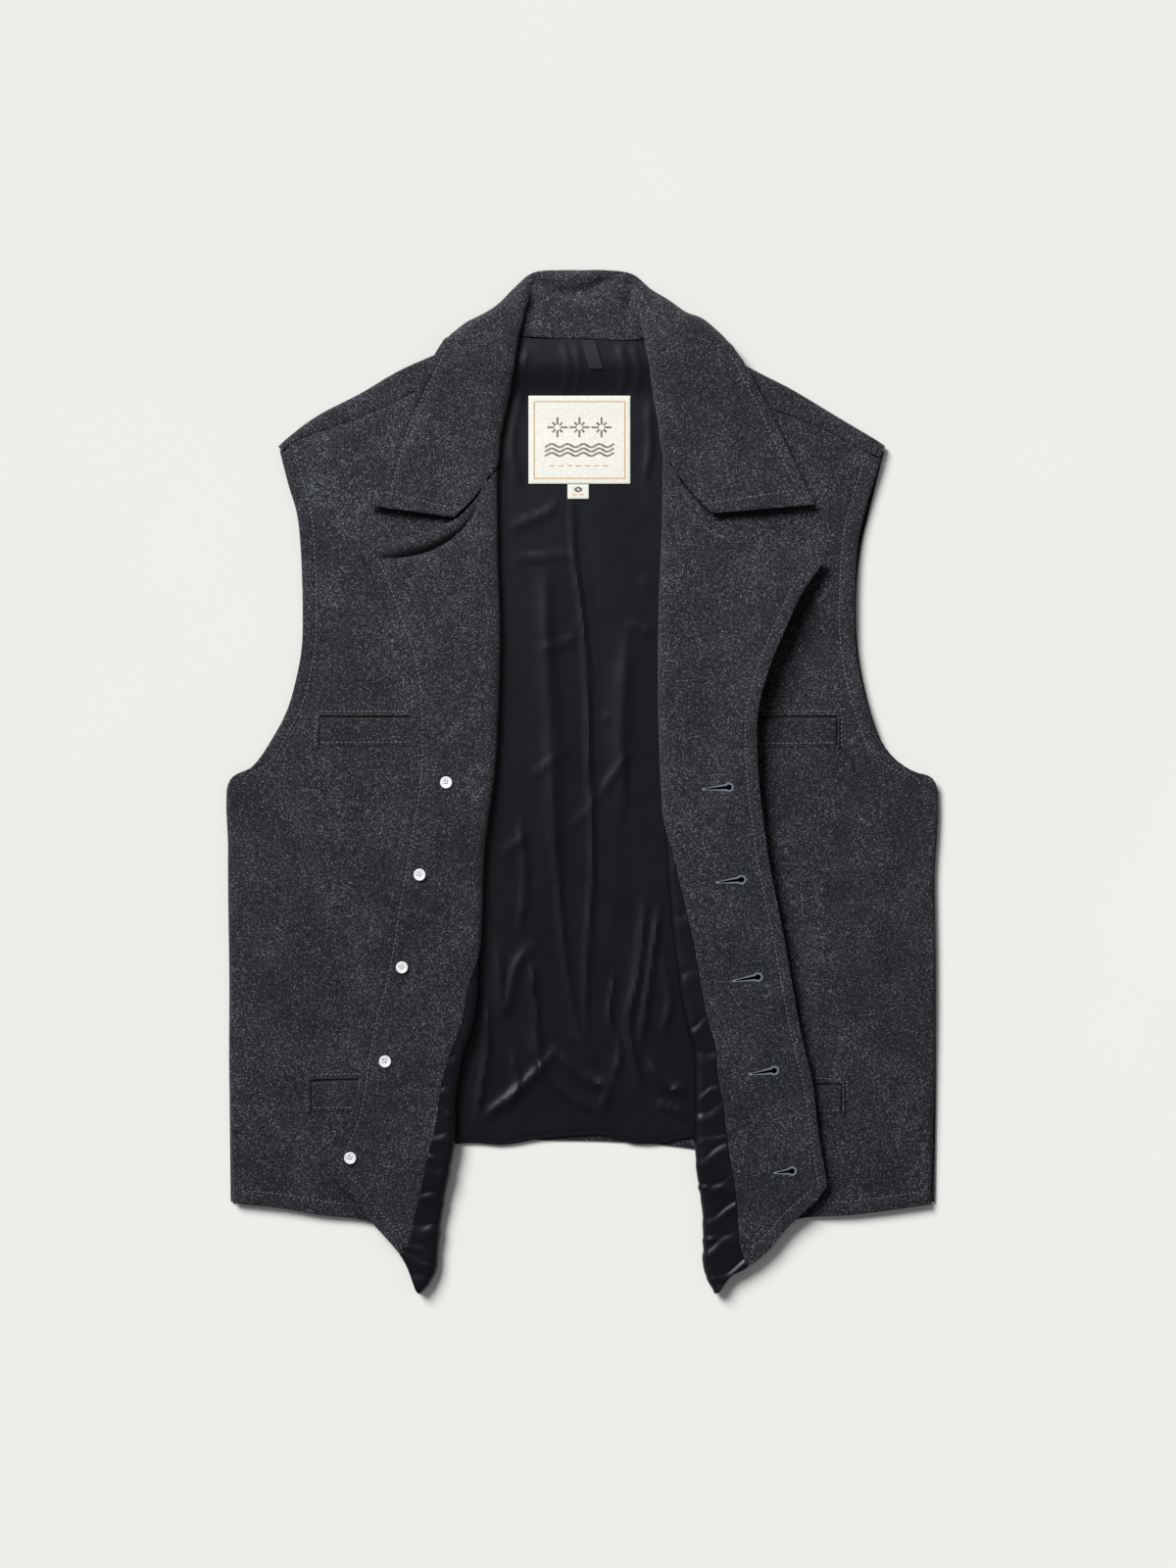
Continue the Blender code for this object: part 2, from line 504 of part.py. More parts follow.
def build_collar():
    grid, normals, cells = collar_surface()
    sheet("top_collar", grid, normals, LAYER - COLLAR_CLOTH / 2, COLLAR_HALF, cells)
    sheet("under_collar", grid, normals, -COLLAR_HALF, COLLAR_CLOTH / 2 - LAYER, cells)


def lying(name, outer, inner, tops, bottoms, height, low, high, columns=4, rows=2):
    """A flat strip that follows the height of the piece below it."""
    s = np.linspace(0, 1, columns)[None, :, None]
    t = np.linspace(0, 1, rows)[:, None, None]
    top = (1 - s) * np.array([outer, tops[0]]) + s * np.array([inner, tops[1]])
    bottom = (1 - s) * np.array([outer, bottoms[0]]) + s * np.array([inner, bottoms[1]])
    plan = (1 - t) * bottom + t * top
    grid = np.concatenate([plan, height(plan[..., 0], plan[..., 1])[..., None]], -1)
    up = np.zeros_like(grid)
    up[..., 2] = 1
    return sheet(name, grid, up, low, high)


def disc(name, x, y, low, thick, radius, sides):
    angles = np.arange(sides) * 2 * np.pi / sides
    ring = np.stack([x + radius * np.cos(angles), y + radius * np.sin(angles)], -1)
    points = [(*p, low) for p in ring] + [(*p, low + thick) for p in ring]
    faces = [list(range(sides))[::-1], list(range(sides, 2 * sides))]
    faces += [[k, (k + 1) % sides, (k + 1) % sides + sides, k + sides] for k in range(sides)]
    return mesh_object(name, points, faces)


def cut_buttonholes(*cloths):
    """Cuts the keyhole slits through both layers of the left flap."""
    for number, (x0, y0, x1, y1) in enumerate(BUTTONHOLES, 1):
        along = np.array([x1 - x0, y1 - y0], float)
        along /= np.linalg.norm(along)
        across = np.array([-along[1], along[0]])
        start, eye = np.array([x0, y0]) + along * 4, np.array([x1, y1]) - along * 5
        ring = [start + across * 0.9, start - across * 0.9]
        for angle in np.linspace(-140, 140, 9):
            a = np.radians(angle)
            ring.append(eye + along * 2.3 * np.cos(a) + across * 2.3 * np.sin(a))
        ring = np.array(ring)
        count = len(ring)
        low = front_height(*eye) + FLAP_LIFT - 2.4
        points = [(*p, low) for p in ring] + [(*p, low + 8) for p in ring]
        faces = [list(range(count))[::-1], list(range(count, 2 * count))]
        faces += [[k, (k + 1) % count, (k + 1) % count + count, k + count] for k in range(count)]
        cutter = mesh_object(f"slit_cutter_{number}", points, faces)
        cutter.hide_render = True
        cutter.display_type = "WIRE"
        for cloth in cloths:
            cut = cloth.modifiers.new(f"slit_{number}", "BOOLEAN")
            cut.operation = "DIFFERENCE"
            cut.solver = "EXACT"
            cut.object = cutter


def main():
    for obj in list(bpy.data.objects):
        bpy.data.objects.remove(obj)
    build_back()
    build_front(RIGHT, "right")
    shell, facing = build_front(LEFT, "left")
    cut_buttonholes(shell, facing)
    build_collar()
    for name, (outer, inner, top0, bottom0, top1, bottom1) in WELTS.items():
        lying(name, outer, inner, (top0, top1), (bottom0, bottom1), front_height, WOOL / 2 + GAP, WOOL * 1.5 + GAP)
    for number, (x, y) in enumerate(STAY_BUTTONS, 1):
        base = float(front_height(x, y))
        disc(f"button_{number}", x, y, base + 1.2, 3.0, 10, 16)
        disc(f"stay_button_{number}", x, y, base + FLAP_LIFT + FACING + 1.2, 1.8, 4.8, 12)
    on_lining = LINING + SATIN / 2 + GAP
    lying("neck_label", -43, 38, (307, 307), (237, 237), label_height, on_lining, on_lining + 1, 3, 6)
    lying("size_tab", -12, 5, (236.6, 236.6), (225, 225), back_height, on_lining, on_lining + 1, 2, 2)
    loop = lying("hanger_loop", -1, 10, (350.5, 350.5), (328, 328), back_height, on_lining, on_lining + 1.6, 2, 5)
    for vertex in loop.data.vertices:
        vertex.co.x += 0.0065 * (0.3505 - vertex.co.y) / 0.0225


main()
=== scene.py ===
"""The looks of a western vest laid flat with both fronts folded open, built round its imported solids.

Tables are in millimetres: x across, y up towards the collar, z up from the floor. "Right" is the wearer's
right, which lies at negative x.
"""

import bpy
import numpy as np
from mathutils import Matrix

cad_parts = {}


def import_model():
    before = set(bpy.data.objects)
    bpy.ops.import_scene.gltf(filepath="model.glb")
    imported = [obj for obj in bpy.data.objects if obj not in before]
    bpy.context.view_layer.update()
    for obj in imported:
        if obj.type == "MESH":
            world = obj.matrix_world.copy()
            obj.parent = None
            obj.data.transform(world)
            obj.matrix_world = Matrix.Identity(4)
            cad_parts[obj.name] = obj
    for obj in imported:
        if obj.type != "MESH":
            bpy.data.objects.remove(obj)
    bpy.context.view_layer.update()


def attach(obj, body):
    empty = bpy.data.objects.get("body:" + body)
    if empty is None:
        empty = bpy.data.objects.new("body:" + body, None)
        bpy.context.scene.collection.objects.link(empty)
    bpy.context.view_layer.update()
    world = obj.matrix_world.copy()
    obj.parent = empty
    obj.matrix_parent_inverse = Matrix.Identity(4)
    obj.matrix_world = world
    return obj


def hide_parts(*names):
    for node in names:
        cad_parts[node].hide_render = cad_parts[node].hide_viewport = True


MM = 1000
WOOL = 1.8
SATIN = 1.0
GAP = 0.3
FACING = WOOL / 2 + GAP + WOOL / 2
LINING = WOOL / 2 + GAP + SATIN / 2
FLAP_LIFT = 5.4
LAYER = 1.1
COLLAR_CLOTH = 1.4
COLLAR_HALF = LAYER + COLLAR_CLOTH / 2
# How far the topstitching lies in from the edges.
ARMHOLE_STITCH = 12.5
HEM_STITCH = 11
EDGE_STITCH = 9
COLLAR_STITCH = 7.5
BACK_STITCH = 5
# Where the back turns forward: how far its fold lies in from the outline, and how far it swells out again.
SHOULDER_INSET = 4.9
SHOULDER_SWELL = 4
# The collar's roll: its half height and half width, and how high the fall's middle lies above the front's.
ROLL_RISE = 3.7
ROLL_REACH = 6
FALL_LIFT = 3.9
# How many columns of a front lie between the end of its body and the seam of its lining strip.
SEAM_COLUMN = 20
SHOULDER_COLUMNS = 22
# How many columns each stretch of the collar has between two key points, and how many the stand has.
COLLAR_SPANS = (5, 5, 5, 3, 6, 6, 6, 4)
STAND_COLUMNS = sum(COLLAR_SPANS[:3])

# Outlines of each front as the photo shows it. Side runs from the hem up the armhole to the shoulder.
RIGHT = {
    "sign": -1,
    "side": [(-278, -335), (-281, -236), (-281, -158), (-282, -56), (-280, 1), (-262, 12), (-244, 38),
             (-234, 58), (-227, 83), (-223, 105), (-222, 131), (-224, 191), (-227, 215), (-233, 235),
             (-240, 262)],
    "hem": [(-237, -339), (-209, -344), (-175, -348), (-159, -354), (-147, -368), (-137, -386)],
    "shoulder": [(-227, 271), (-209, 278), (-179, 289), (-152, 300), (-133, 310)],
    "fold": [(-127.5, -406), (-117, -393), (-112, -354), (-106, -317), (-100, -283), (-99, -250),
             (-93, -215), (-84, -186), (-80, -120), (-77, -48), (-69, 14), (-66, 76), (-65, 127),
             (-67, 187), (-67.5, 256)],
    "roll_end": 240,
    "neck": [(-79, 270), (-81.6, 290), (-83.6, 310), (-84.5, 329)],
    "flap_edge": [(-200, -308), (-194, -288), (-182, -259), (-171, -189), (-161, -149), (-151, -86),
                  (-143, -37), (-137, 1), (-136, 45), (-138, 76), (-142, 100), (-152, 127), (-167, 166),
                  (-177, 182)],
    "flap_end": [(-143, -378), (-168, -348), (-180, -331), (-194, -317)],
    "gorge": [(-83, 227), (-91, 217), (-101, 208), (-120, 199), (-141, 193), (-163, 187)],
    "seam": [(0, 0.30), (0.145, 0.25), (0.218, 0.20), (0.308, 0.125), (0.372, 0.115), (0.43, 0), (1, 0)],
    "seam_top": 0.43,
}
LEFT = {
    "sign": 1,
    "side": [(277, -336), (280, -236), (281, -158), (280, -80), (279, 1), (260, 8), (246, 18), (237, 30),
             (231, 46), (223, 72), (217, 105), (216, 132), (217, 172), (220, 199), (227, 225), (237, 257)],
    "hem": [(253, -339), (214, -344), (168, -348), (148, -360), (130, -374), (114, -388)],
    "shoulder": [(223, 263), (195, 278), (170, 289), (152, 295), (120, 309)],
    "fold": [(104, -406), (97, -393), (94, -340), (89, -305), (88, -250), (87, -210), (81, -189),
             (72, -132), (67, -77), (63, -14), (60, 58), (60.5, 148), (63, 213), (63.6, 265)],
    "roll_end": 250,
    "neck": [(75, 282), (79, 302), (81, 317), (82, 329)],
    "flap_edge": [(194, -320), (187, -278), (182, -236), (174, -203), (158, -114), (149, -69), (143, -28),
                  (139, 14), (139, 54), (147, 87), (163, 126), (175, 151), (192, 175)],
    "flap_end": [(118, -392), (128, -387), (147, -372), (163, -353), (186, -331)],
    "gorge": [(79, 236), (90, 223), (101, 209), (118, 201), (145, 192), (172, 182)],
    "seam": [(0, 0.28), (0.154, 0.26), (0.214, 0.24), (0.26, 0.2), (0.367, 0.19), (0.43, 0.18),
             (0.487, 0.13), (0.538, 0.07), (0.577, 0), (1, 0)],
    "seam_top": 0.57,
}

BACK_RIGHT_SIDE = [(-280, -334), (-281, -236), (-281, -158), (-282, -56), (-280, 1), (-261, 13), (-242, 40),
                   (-232, 60), (-225, 84), (-221, 131), (-222, 191), (-231, 235), (-241, 263)]
BACK_LEFT_SIDE = [(280, -334), (281, -236), (281, -158), (280, -80), (279, 1), (262, 9), (248, 19),
                  (238, 32), (228, 60), (219, 105), (218, 155), (222, 190), (228, 215), (240, 263)]
BACK_HEM = [(-180, -304), (-102, -284), (-36, -285), (23, -286), (90, -292), (180, -310)]
# Shoulder folds, where the back turns forward over the top, from the armhole to the neck.
RIGHT_SHOULDER = [(-243, 267), (-213, 290), (-175, 310), (-148, 326), (-116, 340), (-98, 348), (-87, 353)]
LEFT_SHOULDER = [(242, 267), (200, 292), (165, 313), (141, 325), (122, 335), (104, 344), (86, 351)]
BACK_NECK = [(-70, 352.5), (-62, 353.5), (-48, 353), (-30, 352), (0, 352), (22, 350.5), (48, 350),
             (62, 350.5), (72, 349.5)]

# Collar sections from the right end round the back neck to the left end. Each row has the neck seam x, y, z;
# the roll x, y, z; the outermost point x, y and the height before it; the outer edge x, y; how far the stand
# leans under the fall; and how many degrees the fall turns under.
COLLAR = [
    (-102, 210, 0, 0, 0, 0, 0, 0, 0, -168, 219, 0, 0),
    (-92, 219, 0, 0, 0, 0, 0, 0, 0, -158, 239, 0, 0),
    (-83.5, 229, 0, 0, 0, 0, 0, 0, 0, -151, 262, 0, 0),
    (-75, 257, 6.1, -67.5, 251, 9.3, 0, 0, 0, -146, 279, 1, 0),
    (-78, 270, 6.1, -65, 272, 9.3, 0, 0, 0, -142, 290, 1, 0),
    (-80.6, 290, 6.1, -61.5, 290, 9.3, 0, 0, 0, -136, 302, 1, 0),
    (-82.6, 310, 6.9, -57.5, 308, 9.9, 0, 0, 0, -129, 317, 1, 0),
    (-83.2, 328, 10.5, -54.5, 326, 13.5, 0, 0, 0, -121, 331, 1, 0),
    (-83, 340, 10.9, -52.5, 338, 13.9, -112.5, 348, 15, -112.5, 348, 1, 70),
    (-81, 346, 10.9, -51.5, 345, 14, -107, 353, 15, -104, 346, 1, 130),
    (-78, 350, 10.6, -50.5, 351, 14, -102, 357, 15, -99, 342, 0.9, 180),
    (-70, 355, 8.4, -49, 359, 13.6, -93, 364, 14.5, -89, 343, 0.65, 180),
    (-60, 355, 7.2, -46.5, 369, 12.8, -79, 371, 13.4, -76, 346, 0.4, 180),
    (-50, 354.4, 6.4, -44, 380, 11.6, -67, 379, 12, -64, 349, 0.25, 180),
    (-40, 353.8, 6.2, -41, 385, 10, -54, 393, 10, -51, 352, 0.2, 180),
    (-30, 353, 6.2, -34, 386, 8, -39, 405, 7.8, -38, 355, 0.05, 180),
    (-15, 352.6, 6.2, -17, 384, 7, -18, 407, 6.9, -18, 357, 0, 180),
    (0, 352.6, 6.2, 0, 384, 6.9, 0, 407, 6.9, 0, 357, 0, 180),
    (15, 351.6, 6.2, 17, 384, 7, 18, 407, 6.9, 18, 357, 0, 180),
    (30, 351, 6.2, 34, 385, 8, 39, 404, 7.8, 38, 355, 0.05, 180),
    (40, 351.6, 6.2, 39, 383, 10, 55, 391, 10, 52, 352, 0.2, 180),
    (50, 353, 6.4, 42.5, 378, 11.6, 69, 382, 12, 66, 349, 0.25, 180),
    (60, 354.5, 7.2, 45.5, 369, 12.8, 83, 372, 13.4, 80, 346, 0.4, 180),
    (69, 354.5, 8.4, 47.5, 359, 13.6, 96, 367, 14.5, 92, 343, 0.65, 180),
    (76, 349, 10.6, 49, 351, 14, 108, 357, 15, 104, 341, 0.9, 180),
    (79, 345, 10.9, 50, 345, 14, 116, 349, 15, 112, 342, 1, 130),
    (80.5, 339, 10.9, 51.5, 338, 13.9, 122, 342, 15, 122, 342, 1, 70),
    (80.7, 328, 10.5, 53, 331, 13.5, 0, 0, 0, 129, 330, 1, 0),
    (80, 317, 8.3, 54.5, 318, 11, 0, 0, 0, 136, 318, 1, 0),
    (78, 302, 6.1, 57, 302, 9.3, 0, 0, 0, 143, 305, 1, 0),
    (74, 282, 6.1, 60.5, 282, 9.3, 0, 0, 0, 151, 290, 1, 0),
    (71, 266, 6.1, 63.6, 261, 9.3, 0, 0, 0, 157, 277, 1, 0),
    (80, 238, 0, 0, 0, 0, 0, 0, 0, 164, 262, 0, 0),
    (91, 225, 0, 0, 0, 0, 0, 0, 0, 174, 241, 0, 0),
    (103, 213, 0, 0, 0, 0, 0, 0, 0, 184, 220, 0, 0),
]

# Welts: the outer end's x, the inner end's x, and the top and bottom y at both ends.
WELTS = {
    "welt_chest_right": (-209, -110, 52, 28, 52, 29),
    "welt_chest_left": (202, 101, 52, 28, 52, 27),
    "welt_hip_right": (-216, -113, -237, -262, -234, -262),
    "welt_hip_left": (206, 104, -240, -264, -238, -264),
}
LINING_HEM = [(-240, -312), (-180, -296), (-130, -284), (-89, -279), (-63, -280.5), (-34, -276), (0, -273),
              (18, -273), (41, -279.6), (64, -279), (88.5, -274.6), (120, -283), (180, -298), (240, -314)]
STAY_BUTTONS = [(-108, -0.5), (-129, -73.6), (-143, -147), (-156.4, -221.5), (-184, -298)]
# Buttonholes: the tail end nearer the fold and the round end nearer the edge.
BUTTONHOLES = [(94, -6, 121, -4), (105, -80, 131, -77), (118, -158, 144, -154), (131, -232, 157, -228),
               (151, -310, 171, -308)]

# Soft ridges and troughs: height, half width, and the line that each one follows.
BODY_CREASES = [
    (-2.0, 2.0, [(-240, 263), (-222, 271), (-202, 279), (-168, 296), (-150, 304), (-134, 308), (-120, 312)]),
    (0.8, 4.0, [(-216, 266), (-198, 272), (-164, 288), (-146, 296)]),
    (-1.2, 2.0, [(240, 258), (220, 274), (200, 287), (170, 304), (150, 314), (136, 320)]),
    (-1.6, 7, [(-190, 160), (-164, 110), (-152, 60), (-154, -20), (-168, -100), (-188, -190), (-206, -280)]),
    (-1.6, 7, [(204, 150), (178, 100), (158, 50), (160, -30), (176, -120), (196, -220), (210, -300)]),
    (1.2, 12, [(-262, 4), (-250, 60), (-240, 120), (-240, 190), (-250, 250)]),
    (-1.0, 7, [(-240, -20), (-222, 40), (-206, 100), (-206, 180), (-214, 240)]),
    (1.2, 12, [(262, 0), (244, 50), (232, 110), (232, 190), (244, 250)]),
    (-1.0, 7, [(240, -20), (222, 36), (202, 100), (204, 180), (212, 240)]),
    (1.2, 14, [(-262, -40), (-240, -120), (-236, -220)]),
    (-0.8, 10, [(-236, 10), (-216, -60), (-208, -140)]),
    (0.9, 12, [(-206, 150), (-196, 90), (-190, 10)]),
    (-0.7, 9, [(-246, -290), (-214, -250), (-196, -190)]),
    (1.1, 15, [(250, -30), (236, -120), (240, -230)]),
    (-0.8, 10, [(222, 20), (208, -60), (204, -150)]),
    (0.9, 12, [(204, 160), (190, 90), (186, 10)]),
    (-0.7, 9, [(250, -300), (226, -250), (214, -190)]),
]
FLAP_CREASES = [
    (-5.6, 3.6, [(-164, 177), (-142, 179), (-122, 184), (-104, 194), (-90, 207), (-82, 222)]),
    (2.8, 6, [(-160, 187), (-140, 187), (-118, 193), (-98, 204)]),
    (-1.7, 4.5, [(-152, 171), (-134, 158), (-118, 146), (-104, 143)]),
    (-1.2, 4, [(-107, 171), (-96, 176), (-84, 180)]),
    (0.8, 9, [(-96, 120), (-98, 40), (-104, -60)]),
    (-0.9, 8, [(-124, -30), (-132, -110), (-146, -200)]),
    (0.8, 9, [(96, 150), (94, 60), (100, -40)]),
    (-0.8, 8, [(118, 40), (126, -60), (142, -150)]),
    (-1.4, 5, [(90, 200), (104, 184), (128, 176)]),
    (-1.0, 6, [(104, 150), (122, 140), (134, 120)]),
    (1.0, 7, [(84, 120), (100, 100), (118, 92)]),
    (-0.9, 6, [(-92, 60), (-110, 40), (-122, 34)]),
    (0.8, 7, [(-100, -150), (-118, -160), (-140, -180)]),
]
COLLAR_CREASES = [
    (-1.8, 3.4, [(-116, 328), (-120, 319), (-129, 299), (-138, 279), (-146, 257), (-150, 244)]),
    (0.7, 4.0, [(-108, 320), (-118, 296), (-128, 272), (-136, 252)]),
    (-1.4, 3.4, [(116, 328), (124, 312), (136, 286), (148, 260), (156, 244)]),
    (-5.0, 4.4, [(-37, 405), (-39, 392), (-39, 380), (-40, 370)]),
    (-4.5, 4.4, [(37, 403), (38, 390), (37, 380), (37, 370)]),
    (-6.5, 5.0, [(-37, 404), (-22, 391), (-1, 390), (17, 397), (27, 404)]),
    (1.0, 6, [(-24, 376), (0, 374), (24, 377)]),
    (-0.9, 6, [(-126, 262), (-108, 268), (-94, 284)]),
    (-0.9, 6, [(128, 268), (110, 262), (96, 282)]),
    (0.7, 9, [(-100, 330), (-104, 290), (-112, 250)]),
    (-0.6, 8, [(-84, 300), (-92, 262), (-106, 232)]),
    (0.7, 9, [(104, 326), (112, 290), (124, 250)]),
    (-0.6, 8, [(88, 300), (98, 262), (112, 232)]),
]
LINING_FOLDS = [
    (1.7, 2.0, [(-9, 225), (-7, 180), (0, 130), (4, 80), (5, 16), (8, -48), (7, -86), (4, -132), (3, -201),
                (8, -222)]),
    (-1.0, 6.0, [(-3, 220), (0, 180), (7, 130), (11, 80), (12, 16), (15, -48), (14, -86), (11, -132)]),
    (1.6, 7.0, [(-30, 172), (-27, 76), (-22, 0), (-20, -60)]),
    (1.6, 2.4, [(-28, 30), (-24, -28), (-19, -86), (-15, -130), (-10, -166), (0, -207)]),
    (1.8, 3.0, [(-68, -131), (-62, -184), (-51, -143), (-39, -131)]),
    (2.2, 2.2, [(-41, -143), (-38, -172), (-34, -222)]),
    (2.0, 2.2, [(-78, -172), (-75, -201), (-84, -268)]),
    (-1.2, 5.0, [(37, 30), (36, -72), (35, -131), (28, -172), (27, -213)]),
    (1.6, 7.0, [(35, 112), (32, 61), (31, 25), (38, -40)]),
    (2.0, 2.6, [(50, -94), (44, -155), (37, -190), (46, -245)]),
    (2.2, 2.3, [(61, -100), (53, -158), (46, -210)]),
    (2.3, 2.8, [(-22, -215), (-50, -244), (-80, -268)]),
    (2.1, 2.6, [(-22, -215), (2, -236), (20, -244), (15, -260)]),
    (1.8, 2.0, [(-45, -200), (-30, -232), (-8, -252), (10, -262)]),
    (2.4, 2.4, [(52, -222), (66, -242), (88, -246)]),
    (1.8, 2.0, [(58, -256), (74, -262), (90, -266)]),
    (1.2, 2.0, [(12, -226), (2, -212), (-8, -200)]),
    (1.8, 1.8, [(24, -238), (30, -214), (22, -190), (26, -150)]),
    (1.6, 2.0, [(-60, -262), (-52, -240), (-56, -214)]),
    (1.6, 2.0, [(64, -200), (70, -170), (62, -140)]),
    (1.4, 2.4, [(-50, -120), (-46, -80), (-50, -30)]),
    (0.9, 2.2, [(-56, 202), (-31, 213), (-20, 220)]),
    (0.8, 2.0, [(-56, 176), (-14, 180), (-6, 178)]),
    (0.7, 2.0, [(46, 161), (60, 148)]),
    (0.8, 2.2, [(-33, 105), (-5, 114)]),
    (0.8, 2.0, [(-42, 3), (-21, 19), (-10, 28)]),
    (0.7, 2.0, [(7, 44), (23, 53)]),
    (1.0, 2.4, [(4, -24), (23, 3), (41, 28)]),
    (0.8, 2.0, [(-11, -37), (4, -24)]),
    (0.8, 2.2, [(-64, -58), (-42, -40)]),
    (0.8, 2.0, [(32, 126), (60, 117)]),
    (0.9, 2.2, [(-17, 349), (-11, 330), (-15, 309)]),
    (0.7, 2.0, [(-7, 349), (-3, 330), (-5, 309)]),
    (0.9, 2.4, [(28, 347), (34, 328), (30, 307)]),
    (0.8, 2.2, [(39, 347), (45, 328), (42, 307)]),
    (0.7, 2.4, [(-44, 345), (-48, 320), (-52, 290)]),
    (0.8, 2.6, [(52, 300), (54, 270), (50, 240)]),
    (0.7, 2.6, [(-54, 290), (-56, 262), (-50, 236)]),
]
# How far the flap's edge stands off the body, from its hem end to its gorge end, by the sign of the side.
EDGE_LIFT = {
    -1: [(0, 0.2), (0.3, 2), (0.6, 3.5), (0.8, 4), (0.95, 2.5), (1, 0.3)],
    1: [(0, 0.3), (0.3, 3), (0.55, 5), (0.68, 8), (0.78, 11), (0.88, 10), (0.95, 6), (1, 1.2)],
}
# Gathers across the lining strip of each flap: distance up from the hem, half width and height.
GATHERS = {
    "right": [(12, 5, 1.1), (29, 3.4, 1.5), (36, 3, 1.0), (52, 6, 1.4), (66, 3.2, 0.8), (77, 4.5, 1.6),
              (98, 6, 0.9), (106, 3.2, 1.3), (123, 5.5, 1.2), (147, 4, 0.9), (158, 5, 1.1), (184, 7, 0.9),
              (209, 5, 0.6), (240, 8, 0.7)],
    "left": [(10, 4, 1.0), (22, 3.2, 1.5), (41, 6, 1.3), (50, 3, 0.9), (67, 4.5, 1.5), (84, 6, 1.0),
             (92, 3.2, 1.3), (113, 5.5, 1.4), (126, 3.4, 0.8), (146, 6, 1.2), (161, 4, 0.9), (188, 7, 1.0),
             (214, 5, 1.1), (249, 8, 0.9), (296, 8, 0.7), (335, 9, 0.5)],
}
# Distances of the closest rows and columns from an edge, and from the hem.
NEAR_EDGE = (0, 1, 2.5, 4.5, 6.5, 8, 9, 10, 11.5, 14)
NEAR_HEM = (0, 1, 2.5, 5, 8, 10, 11, 12, 13.5, 17)
# Radius and height of a button's rings, as shares of its own radius and thickness.
BUTTON_RINGS = [(0.01, 0), (0.86, 0), (0.96, 0.12), (1, 0.35), (1, 0.7), (0.96, 0.92), (0.88, 1),
                (0.78, 0.98), (0.68, 0.88), (0.6, 0.85), (0.01, 0.84)]


def step(value, low, high):
    """Rises smoothly from 0 to 1 between the two limits."""
    t = np.clip((value - low) / (high - low), 0, 1)
    return t * t * (3 - 2 * t)


def raised(x, y):
    """How much the cloth lies on the collar's folded-under part, 0 to 1."""
    return step(y, 306, 334) * (1 - step(np.abs(x), 127, 166))


def back_height(x, y):
    return WOOL / 2 + 4.6 * raised(x, y)


def front_height(x, y):
    hem = -283 - 0.28 * np.maximum(np.abs(x) - 100, 0)
    return 6.6 + 4.9 * raised(x, y) - 3 * step(hem - y, 15, 62)


def label_height(x, y):
    return back_height(x, y) + 0.9 * step(y, 282, 307)


def lengths(line):
    """How far along a line each of its points lies."""
    return np.concatenate([[0], np.cumsum(np.linalg.norm(np.diff(line, axis=0), axis=1))])


def sampled(line, at, places):
    """A line's points at other places along it, from the places of its own points."""
    return np.stack([np.interp(at, places, line[:, k]) for k in range(line.shape[1])], -1)


def unit(vectors):
    return vectors / np.maximum(np.linalg.norm(vectors, axis=-1, keepdims=True), 1e-9)


def with_height(plan, height):
    return np.concatenate([plan, height[..., None]], -1)


def turned(grid):
    """A grid with its rows and columns changed over."""
    return grid.transpose(1, 0, 2)


def all_cells(grid):
    return np.ones((grid.shape[0] - 1, grid.shape[1] - 1), bool)


def upright(grid):
    """Normals that all point straight up."""
    up = np.zeros_like(grid)
    up[..., 2] = 1
    return up


def cubic(p, q, leaving, entering, t):
    """A point between p and q on the curve that has these tangents at its two ends."""
    return ((2 * t**3 - 3 * t**2 + 1) * p + (t**3 - 2 * t**2 + t) * leaving
            + (3 * t**2 - 2 * t**3) * q + (t**3 - t**2) * entering)


def smooth(points, at):
    """Points at the given fractions of the length of a smooth line through the given points."""
    p = np.asarray(points, float)
    gaps = np.sqrt(np.linalg.norm(np.diff(p, axis=0), axis=1))[:, None]
    slopes = np.diff(p, axis=0) / gaps
    inner = (gaps[1:] * slopes[:-1] + gaps[:-1] * slopes[1:]) / (gaps[:-1] + gaps[1:])
    tangents = np.concatenate([slopes[:1], inner, slopes[-1:]])
    t = np.linspace(0, 1, 13)[:-1, None]
    spans = [cubic(p[k], p[k + 1], gaps[k] * tangents[k], gaps[k] * tangents[k + 1], t)
             for k in range(len(p) - 1)]
    line = np.concatenate(spans + [p[-1:]])
    length = lengths(line)
    return sampled(line, np.asarray(at) * length[-1], length)


def creases(x, y, table):
    """The height that a table of soft ridges and troughs adds at each point."""
    total = np.zeros(np.shape(x))
    count = 24
    for height, width, line in table:
        spots = smooth(line, np.linspace(0, 1, count + 1))
        near = np.full(np.shape(x), 1e9)
        where = np.zeros(np.shape(x))
        for k, ((px, py), (qx, qy)) in enumerate(zip(spots[:-1], spots[1:])):
            run_x, run_y = qx - px, qy - py
            t = np.clip(((x - px) * run_x + (y - py) * run_y) / (run_x**2 + run_y**2), 0, 1)
            d = (x - px - t * run_x) ** 2 + (y - py - t * run_y) ** 2
            where = np.where(d < near, (k + t) / count, where)
            near = np.minimum(d, near)
        ends = step(where, -0.1, 0.22) * (1 - step(where, 0.78, 1.1))
        total += height * ends * (1 + near / width**2) ** -1.6
    return total


def body_height(x, y):
    return front_height(x, y) + creases(x, y, BODY_CREASES)


def patch(left, right, bottom, top, u, v):
    """A grid of plan points, rows by columns, filled in smoothly between four sampled edges."""
    u, v = np.asarray(u)[None, :, None], np.asarray(v)[:, None, None]
    sides = (1 - u) * left[:, None] + u * right[:, None]
    ends = (1 - v) * bottom[None] + v * top[None]
    low_corners = (1 - v) * ((1 - u) * left[0] + u * right[0])
    high_corners = v * ((1 - u) * left[-1] + u * right[-1])
    return sides + ends - low_corners - high_corners


